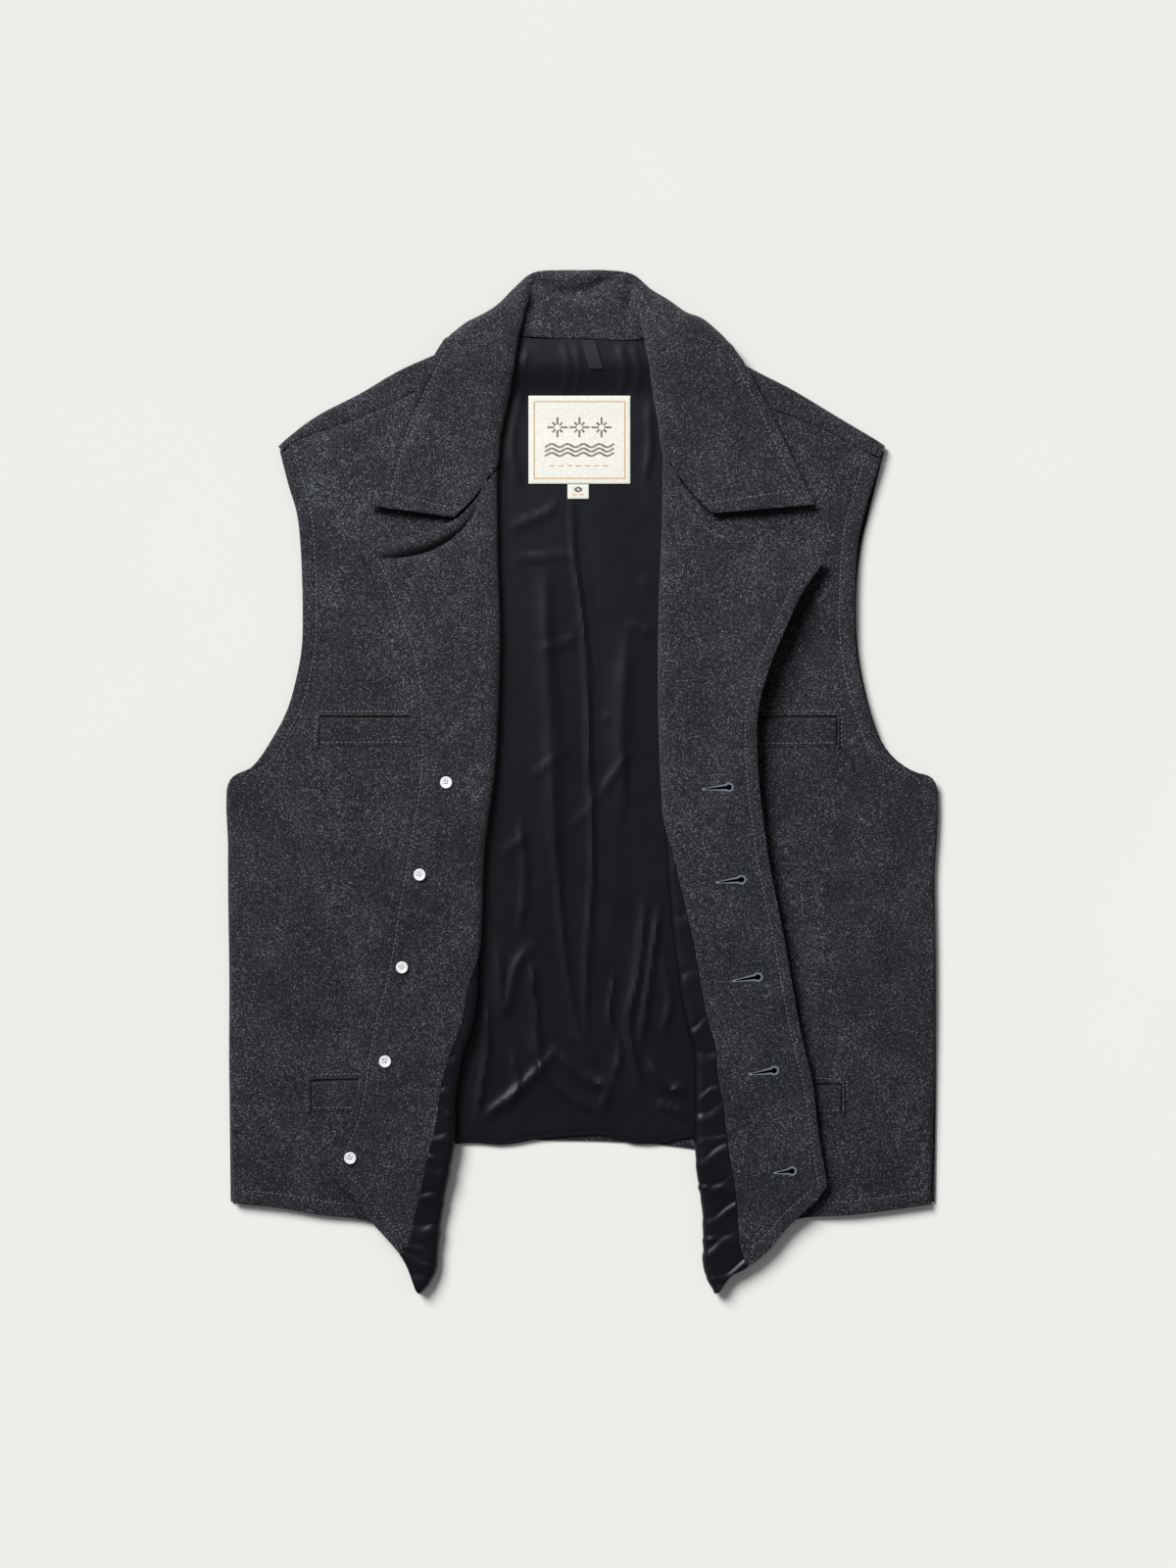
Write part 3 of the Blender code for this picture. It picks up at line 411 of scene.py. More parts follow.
def cell_normals(grid):
    """The normal of each cell of a grid, twice as long as the cell's area."""
    a, b, c, d = grid[:-1, :-1], grid[:-1, 1:], grid[1:, 1:], grid[1:, :-1]
    return np.cross(c - a, d - b)


def grid_normals(grid, cells, facing_up):
    """Normals at the grid's points, from the cells that exist, turned so that one given point's faces up."""
    face = cell_normals(grid) * cells[..., None]
    normals = np.zeros_like(grid)
    for rows in (slice(None, -1), slice(1, None)):
        for columns in (slice(None, -1), slice(1, None)):
            normals[rows, columns] += face
    normals = unit(normals)
    return normals if normals[facing_up][2] > 0 else -normals


def cloth_area(grid, cells):
    """The area of a grid's cells in square metres."""
    return float((np.linalg.norm(cell_normals(grid), axis=-1) / 2 * cells).sum() / MM**2)


def extent(grid):
    """The longest row and the longest column of a grid, in metres: the cloth that it is cut from."""
    across = np.linalg.norm(np.diff(grid, axis=1), axis=2).sum(1).max()
    along = np.linalg.norm(np.diff(grid, axis=0), axis=2).sum(0).max()
    return across / MM, along / MM


def refined(grid, times, axis):
    """A grid with more points along one axis, on smooth curves through the old ones."""
    g = np.moveaxis(grid, axis, 0)
    a, b, c = np.concatenate([2 * g[:1] - g[1:2], g[:-2]]), g[:-1], g[1:]
    d = np.concatenate([g[2:], 2 * g[-1:] - g[-2:-1]])
    rows = [cubic(b, c, (c - a) / 2, (d - b) / 2, k / times) for k in range(times)]
    dense = np.stack(rows, 1).reshape(-1, *g.shape[1:])
    return np.moveaxis(np.concatenate([dense, g[-1:]]), 0, axis)


def link(obj):
    bpy.context.scene.collection.objects.link(obj)
    return obj


def mesh_object(name, points, faces, material):
    mesh = bpy.data.meshes.new(name)
    mesh.from_pydata([tuple(p) for p in np.asarray(points) / MM], [], [tuple(map(int, f)) for f in faces])
    mesh.polygons.foreach_set("use_smooth", [True] * len(mesh.polygons))
    mesh.materials.append(material)
    mesh.update()
    return link(bpy.data.objects.new(name, mesh))


def sheet(name, grid, normals, low, high, material, cells=None, edge=0.5):
    """A closed piece of cloth between two distances along the normals, over the grid's cells."""
    cells = all_cells(grid) if cells is None else cells
    count = grid.shape[0] * grid.shape[1]
    index = np.arange(count).reshape(grid.shape[:2])
    upper = np.stack([index[:-1, :-1][cells], index[:-1, 1:][cells], index[1:, 1:][cells],
                      index[1:, :-1][cells]], -1)
    edges = np.concatenate([upper[:, [k, (k + 1) % 4]] for k in range(4)]).tolist()
    known = set(map(tuple, edges))
    rim = np.array([e for e in edges if (e[1], e[0]) not in known])
    wall = np.stack([rim[:, 1], rim[:, 0], rim[:, 0] + count, rim[:, 1] + count], -1)
    faces = np.concatenate([upper, upper[:, ::-1] + count, wall])
    layers = [(grid + normals * np.broadcast_to(offset, grid.shape[:2])[..., None]).reshape(-1, 3)
              for offset in (high, low)]
    used, faces = np.unique(faces, return_inverse=True)
    faces, points = faces.reshape(-1, 4), np.concatenate(layers)[used]
    if np.linalg.det(points[faces[:, :3]]).sum() < 0:
        faces = faces[:, ::-1]
    obj = mesh_object(name, points, faces, material)
    if edge:
        soft = obj.modifiers.new("soft_edge", "BEVEL")
        soft.width = edge / MM
        soft.segments = 2
        soft.angle_limit = np.radians(55)
    return obj


def finish_piece(obj, slot, *replaced, flat=None, area=None, held="folded", rests=()):
    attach(obj, "root")
    if replaced:
        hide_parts(*replaced)


def spread(total, near_start, near_end, count):
    """Distances over each row's width: fixed ones near both ends, and even ones between."""
    result = []
    for width in total:
        middle = np.linspace(near_start[-1], width - near_end[-1], count)[1:-1]
        result.append(np.concatenate([near_start, middle, width - np.array(near_end)[::-1]]) / width)
    return result


def roll_width(w):
    """Half the width of the rolled fold, which narrows to the point of the hem."""
    return 1.2 + 3.8 * step(w, -0.005, 0.035)


def turned_edge(line, height, out, radius, reach, seamed, way, droop=0.0):
    """The curled outer columns of a panel, from the edge inwards: rolled up or down where it is seamed."""
    columns = []
    for angle in (90, 60, 30):
        a, part = np.radians(angle), angle / 90
        spot = line + out * (seamed * radius * np.sin(a) + (1 - seamed) * reach * part)
        change = seamed * radius * (1 - np.cos(a)) + (1 - seamed) * droop * part**2
        columns.append(with_height(spot, height + way * change[:, 0])[:, None])
    return columns


def front_surface(side):
    """The middle surface of a folded front and what its other pieces need of it."""
    out = np.array([side["sign"], 0.0])
    near_edge = np.array(NEAR_EDGE)
    fold_at = lengths(side["fold"])
    fold_length = fold_at[-1]
    w = np.concatenate([NEAR_HEM, np.linspace(21, fold_length - 18, 150), fold_length - near_edge[::-1]])
    w = w / fold_length
    rows, neck_rows, turn = len(w), 14, 12
    neck_places = np.linspace(0, 1, neck_rows + 1)[1:]
    share = fold_length / (fold_length + lengths([side["fold"][-1]] + side["neck"])[-1])
    v = np.concatenate([w * share, share + (1 - share) * neck_places])
    edge = np.array(side["fold"], float) + out * (3 + roll_width(fold_at / fold_length))[:, None]
    edge[0] += (0, 0.5)
    low_fold = smooth(edge, w)
    # The roll of the flap ends lower than the fold does, and is the same below this line.
    same_below = -300
    lowered = np.interp(edge[:, 1], [same_below, edge[-1, 1]], [same_below, side["roll_end"]])
    edge[:, 1] = np.where(edge[:, 1] > same_below, lowered, edge[:, 1])
    high_fold = smooth(edge, w)
    inner = np.concatenate([low_fold, smooth([low_fold[-1], *side["neck"]], neck_places)])

    outline = smooth(side["side"], v)
    seamed = (1 - step(outline[:, 1], -14, 0))[:, None]
    outer = outline - out * (2.5 + 1.1 * seamed)
    even = np.linspace(0, 1, 61)
    bottom = smooth([outer[0], *side["hem"], inner[0]], even)
    top = smooth([outer[-1], *side["shoulder"], inner[-1]], even)
    full = patch(outer, inner, bottom, top, even, v)
    widths = np.linalg.norm(np.diff(full, axis=1), axis=2).sum(1)
    plan = np.stack([sampled(row, at, even) for row, at in zip(full, spread(widths, NEAR_EDGE, (0, 4), 26))])
    flat = with_height(plan, body_height(plan[..., 0], plan[..., 1]))
    curls = turned_edge(outer, flat[:, 0, 2], out, 2.7, 2.5, seamed, -1, 0.6)
    fold = len(curls) + flat.shape[1]

    end = smooth([high_fold[0], *side["flap_end"], side["flap_edge"][0]], even)
    gorge = smooth([high_fold[-1], *side["gorge"], side["flap_edge"][-1]], even)
    flap = patch(high_fold, smooth(side["flap_edge"], w), end, gorge, even, w)
    x, y = flap[..., 0], flap[..., 1]
    lift = np.interp(w, *np.array(EDGE_LIFT[side["sign"]]).T)[:, None] * step(even, 0.3, 1.1)[None] ** 1.5
    flap = with_height(flap, front_height(x, y) + FLAP_LIFT + creases(x, y, FLAP_CREASES) + lift)
    low = flat[:rows, -1]
    bend = []
    for angle in np.linspace(0, np.pi, 2 * turn + 1)[:-1]:
        t = (1 - np.cos(angle)) / 2
        spot = low[:, :2] * (1 - t) + high_fold * t - out * roll_width(w)[:, None] * np.sin(angle)
        bend.append(with_height(spot, low[:, 2] * (1 - t) + flap[:, 0, 2] * t)[:, None])
    folded = []
    for row, share in zip(np.concatenate(bend + [flap], 1), np.interp(w, *np.array(side["seam"]).T)):
        length = lengths(row)
        seam_at = length[turn] + share * (length[-1] - length[turn])
        edge_at = length[-1] - near_edge[::-1]
        places = np.concatenate([np.linspace(0, seam_at, SEAM_COLUMN + 1), [seam_at + 1.5, seam_at + 4],
                                 np.linspace(seam_at + 4, edge_at[0], 22)[1:-1], edge_at])[1:]
        folded.append(sampled(row, places, length))
    folded = np.array(folded + folded[-1:] * neck_rows)
    grid = np.concatenate(curls + [flat, folded], 1)
    cells = all_cells(grid)
    cells[rows - 1:, fold - 1:] = False
    return {"grid": grid, "normals": grid_normals(grid, cells, (5, -5)), "cells": cells, "rows": rows,
            "fold": fold, "seam": fold + SEAM_COLUMN - 1, "open_side": 1 - seamed[:, 0]}


def walk(points, normals, distance, from_end=False):
    """The line that runs along one edge of a grid, a distance in from it: (points, normals)."""
    if from_end:
        points, normals = points[:, ::-1], normals[:, ::-1]
    pairs = [[sampled(part, distance, lengths(row)) for part in (row, normal)]
             for row, normal in zip(points, normals)]
    return tuple(np.array(pairs).transpose(1, 0, 2))


def distance_from(points, from_end=False):
    """How far each grid point lies from the first or last point of its row, along the row."""
    steps = np.linalg.norm(np.diff(points, axis=1), axis=2)
    total = np.concatenate([np.zeros((len(points), 1)), np.cumsum(steps, 1)], 1)
    return total[:, -1:] - total if from_end else total


def sewn(distance, at):
    """The relief of a topstitched edge: a groove on the stitches and a slight swell beside it."""
    groove = -0.45 * np.exp(-(((distance - at) / 1.3) ** 2))
    swell = 0.35 * np.exp(-(((distance - at * 0.45) / (at * 0.35)) ** 2))
    return groove + swell


class Stitches:
    """Gathers many small stitches and makes one mesh of them."""

    def __init__(self):
        self.points = []
        self.faces = []

    def add(self, start, end, up, thick=0.34, sink=0.1):
        """One stitch: a thread that comes up, runs along and goes down again."""
        start, end, up = (np.asarray(point, float) for point in (start, end, up))
        along = end - start
        across = unit(np.cross(up, along))
        base = len(self.points)
        sides = 6
        profile = ((0, 0.35), (0.14, 0.85), (0.5, 1.0), (0.86, 0.85), (1, 0.35))
        for t, size in profile:
            centre = start + along * t + up * (thick * (size - 0.75) - sink)
            for a in np.arange(sides) * 2 * np.pi / sides:
                self.points.append(centre + thick * size * (across * np.cos(a) * 0.95 + up * np.sin(a)))
        last = base + (len(profile) - 1) * sides
        for ring in range(base, last, sides):
            for k in range(sides):
                n = (k + 1) % sides
                self.faces.append((ring + k, ring + n, ring + sides + n, ring + sides + k))
        self.faces.append(tuple(range(base, base + sides))[::-1])
        self.faces.append(tuple(range(last, last + sides)))

    def run(self, spots, ups, lift, length=2.4, gap=1.2, thick=0.4, sink=0.12):
        """A row of stitches along a line."""
        ups = np.asarray(ups)
        spots = np.asarray(spots, float) + ups * lift
        total = lengths(spots)
        for k in range(int((total[-1] - gap) / (length + gap))):
            start = k * (length + gap) + gap
            end = (k + 1) * (length + gap)
            up = unit(sampled(ups, start, total))
            self.add(sampled(spots, start, total), sampled(spots, end, total), up, thick, sink)


class Look:
    """A material in the making. Names of shader settings have _ for each space."""

    def __init__(self, name, **settings):
        self.material = bpy.data.materials.new(name)
        self.material.use_nodes = True
        self.tree = self.material.node_tree
        self.shader = self.tree.nodes["Principled BSDF"]
        self.place = self.tree.nodes.new("ShaderNodeTexCoord").outputs["Object"]
        for key, value in settings.items():
            self.shader.inputs[key.replace("_", " ")].default_value = value

    def noise(self, scale, detail, rough, stretch=(1, 1, 1)):
        mapping = self.tree.nodes.new("ShaderNodeMapping")
        mapping.inputs["Scale"].default_value = stretch
        self.tree.links.new(self.place, mapping.inputs["Vector"])
        texture = self.tree.nodes.new("ShaderNodeTexNoise")
        for key, value in (("Scale", scale), ("Detail", detail), ("Roughness", rough)):
            texture.inputs[key].default_value = value
        self.tree.links.new(mapping.outputs["Vector"], texture.inputs["Vector"])
        return texture.outputs["Fac"]

    def mix(self, kind, a, b):
        """Joins a value with another one or with a number."""
        node = self.tree.nodes.new("ShaderNodeMath")
        node.operation = kind
        self.tree.links.new(a, node.inputs[0])
        if isinstance(b, float):
            node.inputs[1].default_value = b
        else:
            self.tree.links.new(b, node.inputs[1])
        return node.outputs[0]

    def weighted(self, *pairs):
        """The sum of values, each times its own weight."""
        parts = [value if weight == 1 else self.mix("MULTIPLY", value, weight) for value, weight in pairs]
        total = parts[0]
        for part in parts[1:]:
            total = self.mix("ADD", total, part)
        return total

    def colour(self, factor, stops):
        node = self.tree.nodes.new("ShaderNodeValToRGB")
        while len(node.color_ramp.elements) < len(stops):
            node.color_ramp.elements.new(0.5)
        for element, (place, colour) in zip(node.color_ramp.elements, stops):
            element.position = place
            element.color = (*colour, 1)
        self.tree.links.new(factor, node.inputs["Fac"])
        self.tree.links.new(node.outputs["Color"], self.shader.inputs["Base Color"])

    def bump(self, height, strength, distance):
        node = self.tree.nodes.new("ShaderNodeBump")
        node.inputs["Strength"].default_value = strength
        node.inputs["Distance"].default_value = distance
        self.tree.links.new(height, node.inputs["Height"])
        self.tree.links.new(node.outputs["Normal"], self.shader.inputs["Normal"])


def wool_material():
    """Brushed heather wool: pale fibres lying every way over a dark ground."""
    look = Look("wool", Roughness=0.95, Specular_IOR_Level=0.2, Sheen_Weight=0.05, Sheen_Roughness=0.6)
    speckle = look.noise(880, 3, 0.8)
    fibres = look.noise(1300, 2, 0.6, (1, 0.35, 1))
    crossed = look.noise(1300, 2, 0.6, (0.35, 1, 1))
    nap = look.weighted((speckle, 0.5), (look.mix("MAXIMUM", fibres, crossed), 0.5))
    look.colour(look.weighted((nap, 1), (look.noise(30, 4, 0.6), 0.1)), [
        (0.48, (0.0011, 0.0013, 0.0019)), (0.56, (0.0058, 0.0063, 0.0083)),
        (0.62, (0.0185, 0.0202, 0.025)), (0.69, (0.125, 0.135, 0.158))])
    look.bump(nap, 0.7, 0.0008)
    return look.material


def satin_material():
    look = Look("satin_lining", Roughness=0.37, Specular_IOR_Level=0.26, Specular_Tint=(0.9, 0.93, 1, 1))
    weave = look.noise(1500, 1, 0.5, (1, 0.2, 1))
    streaks = look.noise(120, 3, 0.6, (1, 0.07, 1))
    creased = look.noise(38, 2, 0.45, (1, 0.8, 1))
    look.colour(look.noise(18, 3, 0.55), [(0.3, (0.0021, 0.0023, 0.0034)), (0.7, (0.0034, 0.0037, 0.0050))])
    look.bump(look.weighted((weave, 0.05), (streaks, 0.12), (creased, 1)), 0.42, 0.0016)
    return look.material


def thread_material(name, colour, rough=0.7):
    look = Look(name, Roughness=rough)
    twist = look.noise(2500, 2, 0.6)
    look.colour(twist, [(0.35, tuple(c * 0.7 for c in colour)), (0.65, colour)])
    look.bump(twist, 0.4, 0.0002)
    return look.material


def woven_material(name, dark, light):
    """A close woven label."""
    look = Look(name, Roughness=0.75, Sheen_Weight=0.1)
    across, along = look.noise(1300, 1, 0.5, (0.25, 1, 1)), look.noise(1300, 1, 0.5, (1, 0.3, 1))
    both = look.mix("MULTIPLY", look.mix("ADD", across, along), 0.5)
    look.colour(both, [(0.35, dark), (0.62, light)])
    look.bump(both, 0.5, 0.0003)
    return look.material


def button_material(name, dark, light):
    look = Look(name, Roughness=0.3, Coat_Weight=0.25)
    swirl = look.noise(240, 4, 0.6)
    look.colour(swirl, [(0.3, dark), (0.7, light)])
    look.bump(swirl, 0.05, 0.0002)
    return look.material


def build_front(side, name, looks, threads):
    """One folded front with its facing, its lining strip and its topstitching."""
    surface = front_surface(side)
    grid, normals, cells, rows = (surface[key] for key in ("grid", "normals", "cells", "rows"))
    fold, open_side = surface["fold"], surface["open_side"]
    wool, front = looks["wool"], "front_" + name
    shown = FACING + WOOL / 2

    relief = open_side[:, None] * sewn(distance_from(grid), ARMHOLE_STITCH)
    relief = relief + sewn(distance_from(turned(grid)).T, HEM_STITCH)
    relief[:, fold - 2:] = 0
    shell = sheet(front, grid, normals, -WOOL / 2 - relief, WOOL / 2, wool, cells)

    first = fold - 1
    inner, inner_normals = grid[:rows, first:].copy(), normals[:rows, first:]
    seam_row, seam_at = int(round(side["seam_top"] * (rows - 1))), surface["seam"] - first
    keep = all_cells(inner)
    keep[:seam_row, :seam_at] = False
    edge = distance_from(grid[:rows], from_end=True)[:, first:]
    bottom = distance_from(turned(grid[:rows])).T[:, first:]
    on_flap = step(np.arange(inner.shape[1]), seam_at, seam_at + 5)[None]
    across = unit(inner[:, seam_at] - inner[:, seam_at - 1])
    inner[:seam_row, seam_at] += across[:seam_row] * 0.25
    ease = sewn(edge, EDGE_STITCH) + on_flap * sewn(bottom, HEM_STITCH)
    facing = sheet("facing_" + name, inner, inner_normals, FACING - WOOL / 2, shown + ease, wool, keep)

    strip = inner[:seam_row + 1, :seam_at + 1].copy()
    strip[:, -1] -= across[:seam_row + 1] * 0.4
    strip = refined(strip, 3, 0)
    strip_normals = unit(refined(inner_normals[:seam_row + 1, :seam_at + 1], 3, 0))
    near_seam = np.linspace(0, 1, strip.shape[1])[None]
    from_tip = strip[..., 1] - strip[0, 0, 1] + 0.45 * np.abs(strip[..., 0] - strip[:, -1:, 0])
    gathers = np.zeros(strip.shape[:2])
    for k, (place, width, height) in enumerate(GATHERS[name]):
        far = from_tip - place - 2.5 * np.sin(2.3 * k + 5 * near_seam)
        ridge = (1 + (far / width) ** 2) ** -1.5
        trough = (1 + ((far - width) / (0.45 * width)) ** 2) ** -1.5
        peak = 0.65 + 0.35 * np.sin(1.9 * k)
        fade = 0.35 + 0.75 * np.exp(-(((near_seam - peak) / 0.45) ** 2))
        gathers += 0.7 * height * (ridge - 0.8 * trough) * fade
    gathers = np.clip(gathers * step(from_tip, 0, 12), -0.75, 3)
    lining = sheet("front_lining_" + name, strip, strip_normals, LINING - SATIN / 2,
                   LINING + SATIN / 2 + gathers, looks["satin"], edge=0.25)

    threads.run(*walk(grid[3:rows - 3], normals[3:rows - 3], EDGE_STITCH, True), shown)
    armhole = np.flatnonzero(open_side > 0.6)
    threads.run(*walk(grid[armhole], -normals[armhole], ARMHOLE_STITCH), WOOL / 2)
    ends = [(grid, -normals, slice(8, fold - 3), HEM_STITCH, False, WOOL / 2),
            (inner, inner_normals, slice(seam_at + 3, -9), HEM_STITCH, False, shown)]
    if name == "left":
        gorge = np.flatnonzero((inner[-1, :, 0] > 92) & (inner[-1, :, 0] < 128))
        ends.append((inner, inner_normals, gorge, EDGE_STITCH, True, shown))
    for points, ups, columns, distance, at_top, lift in ends:
        threads.run(*walk(turned(points[:, columns]), turned(ups[:, columns]), distance, at_top), lift)

    finish_piece(shell, "wool", front, flat=(0.42, 0.78), area=cloth_area(grid, cells),
                 rests=["back", "back_lining"])
    finish_piece(facing, "wool", "facing_" + name, flat=extent(inner), area=cloth_area(inner, keep),
                 rests=[front])
    finish_piece(lining, "satin_lining", "front_lining_" + name, flat=extent(strip),
                 area=cloth_area(strip, all_cells(strip)), rests=[front])
    return shell, facing


def away_from(line):
    """Plan directions square to a line, pointing up the page."""
    along = np.gradient(line, axis=0)
    away = unit(np.stack([-along[:, 1], along[:, 0]], -1))
    return away * np.sign(away[:, 1:])


def back_plan(v):
    """The back's plan grid, its two sides, and its shoulder folds with the directions away from them."""
    sides, shoulders, rises = {}, {}, None
    for name, side, shoulder, inwards in (("right", BACK_RIGHT_SIDE, RIGHT_SHOULDER, 1),
                                          ("left", BACK_LEFT_SIDE, LEFT_SHOULDER, -1)):
        outline = smooth(side, v)
        if rises is None:
            rises = (1 - step(outline[:, 1], -14, 0))[:, None]
        sides[name] = outline + inwards * np.concatenate([2 + rises, 0 * rises], 1)
        fold = smooth(shoulder, np.linspace(0, 1, SHOULDER_COLUMNS))
        away = away_from(fold)
        base = fold - SHOULDER_INSET * away
        base[0] = sides[name][-1]
        shoulders[name] = (base, away)
    ends = shoulders["right"][0], shoulders["left"][0]
    neck = smooth([ends[0][-1], *BACK_NECK, ends[1][-1]], np.linspace(0, 1, 26))
    top = np.concatenate([ends[0], neck[1:-1], ends[1][::-1]])
    u = lengths(top) / lengths(top)[-1]
    bottom = smooth([sides["right"][0], *BACK_HEM, sides["left"][0]], u)
    plan = patch(sides["right"], sides["left"], bottom, top, u, v)
    return plan, sides, shoulders, rises


def build_back(looks, threads):
    """The wool back, which turns forward over both shoulders onto the fronts."""
    near_hem = [0, 0.002, 0.006, 0.012, 0.02]
    v = np.concatenate([near_hem, np.linspace(0.028, 0.9, 80), np.linspace(0.91, 1, 16)])
    plan, sides, shoulders, rises = back_plan(v)
    flat = with_height(plan, back_height(plan[..., 0], plan[..., 1]))
    right_curl, left_curl = (
        turned_edge(sides[name], flat[:, column, 2], np.array([way, 0.0]), 2.1, 2, rises, 1)
        for name, column, way in (("right", 0, -1), ("left", -1, 1)))
    grid = np.concatenate(right_curl + [flat] + left_curl[::-1], 1)

    count = SHOULDER_COLUMNS
    seams = [smooth([(x, y + 0.9) for x, y in (side["side"][-1], *side["shoulder"], side["neck"][-1])],
                    np.linspace(0, 1, count)) for side in (RIGHT, LEFT)]
    wrapped = ((*shoulders["right"], seams[0], slice(3, 3 + count)),
               (*(line[::-1] for line in (*shoulders["left"], seams[1])), slice(-3 - count, -3)))
    wraps = []
    for angle in (20, 45, 70, 90, 110, 135, 160, 180, 200, 220, 240, 260):
        a = np.radians(min(angle, 180))
        over, forward = (1 - np.cos(a)) / 2, max(angle - 180, 0) / 80
        row = grid[-1].copy()
        for base, away, seam, at in wrapped:
            spot = (base + away * SHOULDER_SWELL * np.sin(a)) * (1 - forward) + seam * forward
            end_height = body_height(seam[:, 0], seam[:, 1]) - 0.5 * (forward == 1)
            row[at] = with_height(spot, grid[-1, at, 2] * (1 - over) + end_height * over)
        wraps.append(row[None])
    rows = len(grid)
    whole = np.concatenate([grid] + wraps)
    cells = all_cells(whole)
    cells[rows - 1:] = False
    cells[rows - 1:, 3:2 + count] = True
    cells[rows - 1:, -2 - count:-3] = True
    normals = grid_normals(whole, cells, (4, 30))
    back = sheet("back", whole, normals, -WOOL / 2, WOOL / 2, looks["wool"], cells)
    finish_piece(back, "wool", "back", flat=(0.60, 0.74), area=cloth_area(whole, cells), held="laid")
    hem = walk(turned(whole[:, 12:-12]), turned(normals[:, 12:-12]), BACK_STITCH)
    threads.run(*hem, WOOL / 2, thick=0.25)


def build_back_lining(looks):
    """The satin lining of the back, with the folds that show in the opening."""
    v = np.concatenate([np.linspace(0, 0.975, 165), np.linspace(0.98, 1, 6)])
    opening = np.linspace(0.27, 0.71, 95)
    u = np.concatenate([np.linspace(0, 0.27, 12)[:-1], opening, np.linspace(0.71, 1, 12)[1:]])
    even = np.linspace(0, 1, 40)
    plan = back_plan(even)[0]
    down = unit(plan[-1] - plan[-2])
    short = np.full(len(down), 14.0)
    short[SHOULDER_COLUMNS:-SHOULDER_COLUMNS] = 0.4
    top_line = plan[-1] - down * short[:, None]
    along = lengths(top_line)
    top = sampled(top_line, u * along[-1], along)
    shift = np.stack([np.full(len(v), 6.0), 12 * (1 - v) ** 6], -1)
    shift[0, 1] += 12
    right = sampled(plan[:, 0], v, even) + shift
    left = sampled(plan[:, -1], v, even) + shift * (-1, 1)
    bottom = smooth([right[0], *LINING_HEM, left[0]], u)
    right[-1], left[-1] = top[0], top[-1]
    spots = patch(right, left, bottom, top, u, v)
    x, y = spots[..., 0], spots[..., 1]
    open_from, open_to = (np.interp(y, *np.array(side["fold"])[:, ::-1].T) - 2 * side["sign"]
                          for side in (RIGHT, LEFT))
    inside = step(x, open_from, open_from + 9) * (1 - step(x, open_to - 9, open_to))
    inside = inside * (1 - step(y, 340, 351)) * step(y, -280, -264)
    under_label = (1 - step(np.abs(x + 2.5), 41, 44)) * step(y, 222, 226) * (1 - step(y, 306, 309))
    folds = np.maximum(1.3 * creases(x, y, LINING_FOLDS), -0.4 * step(y, -262, -244))
    height = back_height(x, y) + LINING + inside * (1 - under_label) * folds
    height += 0.35 * (1 - step(y, -282, -262)) * (1 - step(np.abs(x), 95, 120))
    height += 0.5 * step(np.abs(x), 95, 130) * step(y, 250, 300)
    grid = with_height(spots, height)
    cells = all_cells(grid)
    lining = sheet("back_lining", grid, grid_normals(grid, cells, (4, 30)), -SATIN / 2, SATIN / 2,
                   looks["satin"], edge=0.3)
    finish_piece(lining, "satin_lining", "back_lining", flat=(0.60, 0.70), area=cloth_area(grid, cells),
                 held="laid", rests=["back"])


def uneven_spline(a, b, c, d, t):
    """A point on the spline between b and c that allows for uneven distances."""
    ab, bc, cd = (max(np.sqrt(np.linalg.norm(q - p)), 1e-3) for p, q in ((a, b), (b, c), (c, d)))
    leaving = bc * ((b - a) / ab - (c - a) / (ab + bc) + (c - b) / bc)
    entering = bc * ((c - b) / bc - (d - b) / (bc + cd) + (d - c) / cd)
    return cubic(b, c, leaving, entering, t)


def collar_section(nx, ny, nz, rx, ry, rz, sx, sy, sz, ex, ey, lean, turn):
    """The nine key points of one row of COLLAR, from the neck seam to the outer edge."""
    end, outermost = np.array([ex, ey], float), np.array([sx, sy], float)
    if rz == 0:
        keys = [np.array([nx, ny, front_height(nx, ny) + FLAP_LIFT + LAYER])] * 4
    else:
        neck = np.array([nx, ny, nz], float)
        away = unit((outermost if turn else end) - (rx, ry))
        roll = np.array([*((rx, ry) + away * COLLAR_HALF), rz])
        under = np.array([*(roll[:2] + away * ROLL_REACH), rz - ROLL_RISE])
        near = neck + (roll - neck) * (0.8, 0.8, 0.75)
        before = near * (1 - lean) + under * lean
        if lean == 1 and abs(nx - before[0]) < 1.2:
            before[:2] = nx - np.sign(nx) * 0.5, ny
        keys = [neck, before, roll, np.array([*under[:2], rz + ROLL_RISE * lean])]
        # The fall starts lower at the first full section of each side, so that its edge runs on to the gorge.
        keys[3][1] = {257: 242, 266: 251.5}.get(ny, keys[3][1])
    over = keys[3]
    rest = []
    if not turn:
        for t in (0.3, 0.6, 0.8, 0.9, 1):
            spot = over[:2] + (end - over[:2]) * t
            drop = over[2] - front_height(*over[:2]) - FALL_LIFT
            fade = np.exp(-np.linalg.norm(spot - over[:2]) / 25)
            rest.append(np.array([*spot, front_height(*spot) + FALL_LIFT + drop * fade]))
        return keys + rest
    away = unit(outermost - over[:2])
    reach = min(6.0, (sz - COLLAR_HALF) / 2 + 0.5)
    crest = outermost - away * (COLLAR_HALF + reach)
    rest = [np.array([*(over[:2] + crest) / 2, (over[2] + sz) / 2]), np.array([*crest, sz])]
    for a in np.radians([turn / 2, turn]):
        height = (sz + COLLAR_HALF) / 2 + (sz - COLLAR_HALF) / 2 * np.cos(a)
        rest.append(np.array([*(crest + away * reach * np.sin(a)), height]))
    rest.append(np.array([ex, ey, COLLAR_HALF]) if turn == 180 else rest[-1] - (0, 0, 1.0))
    return keys + rest


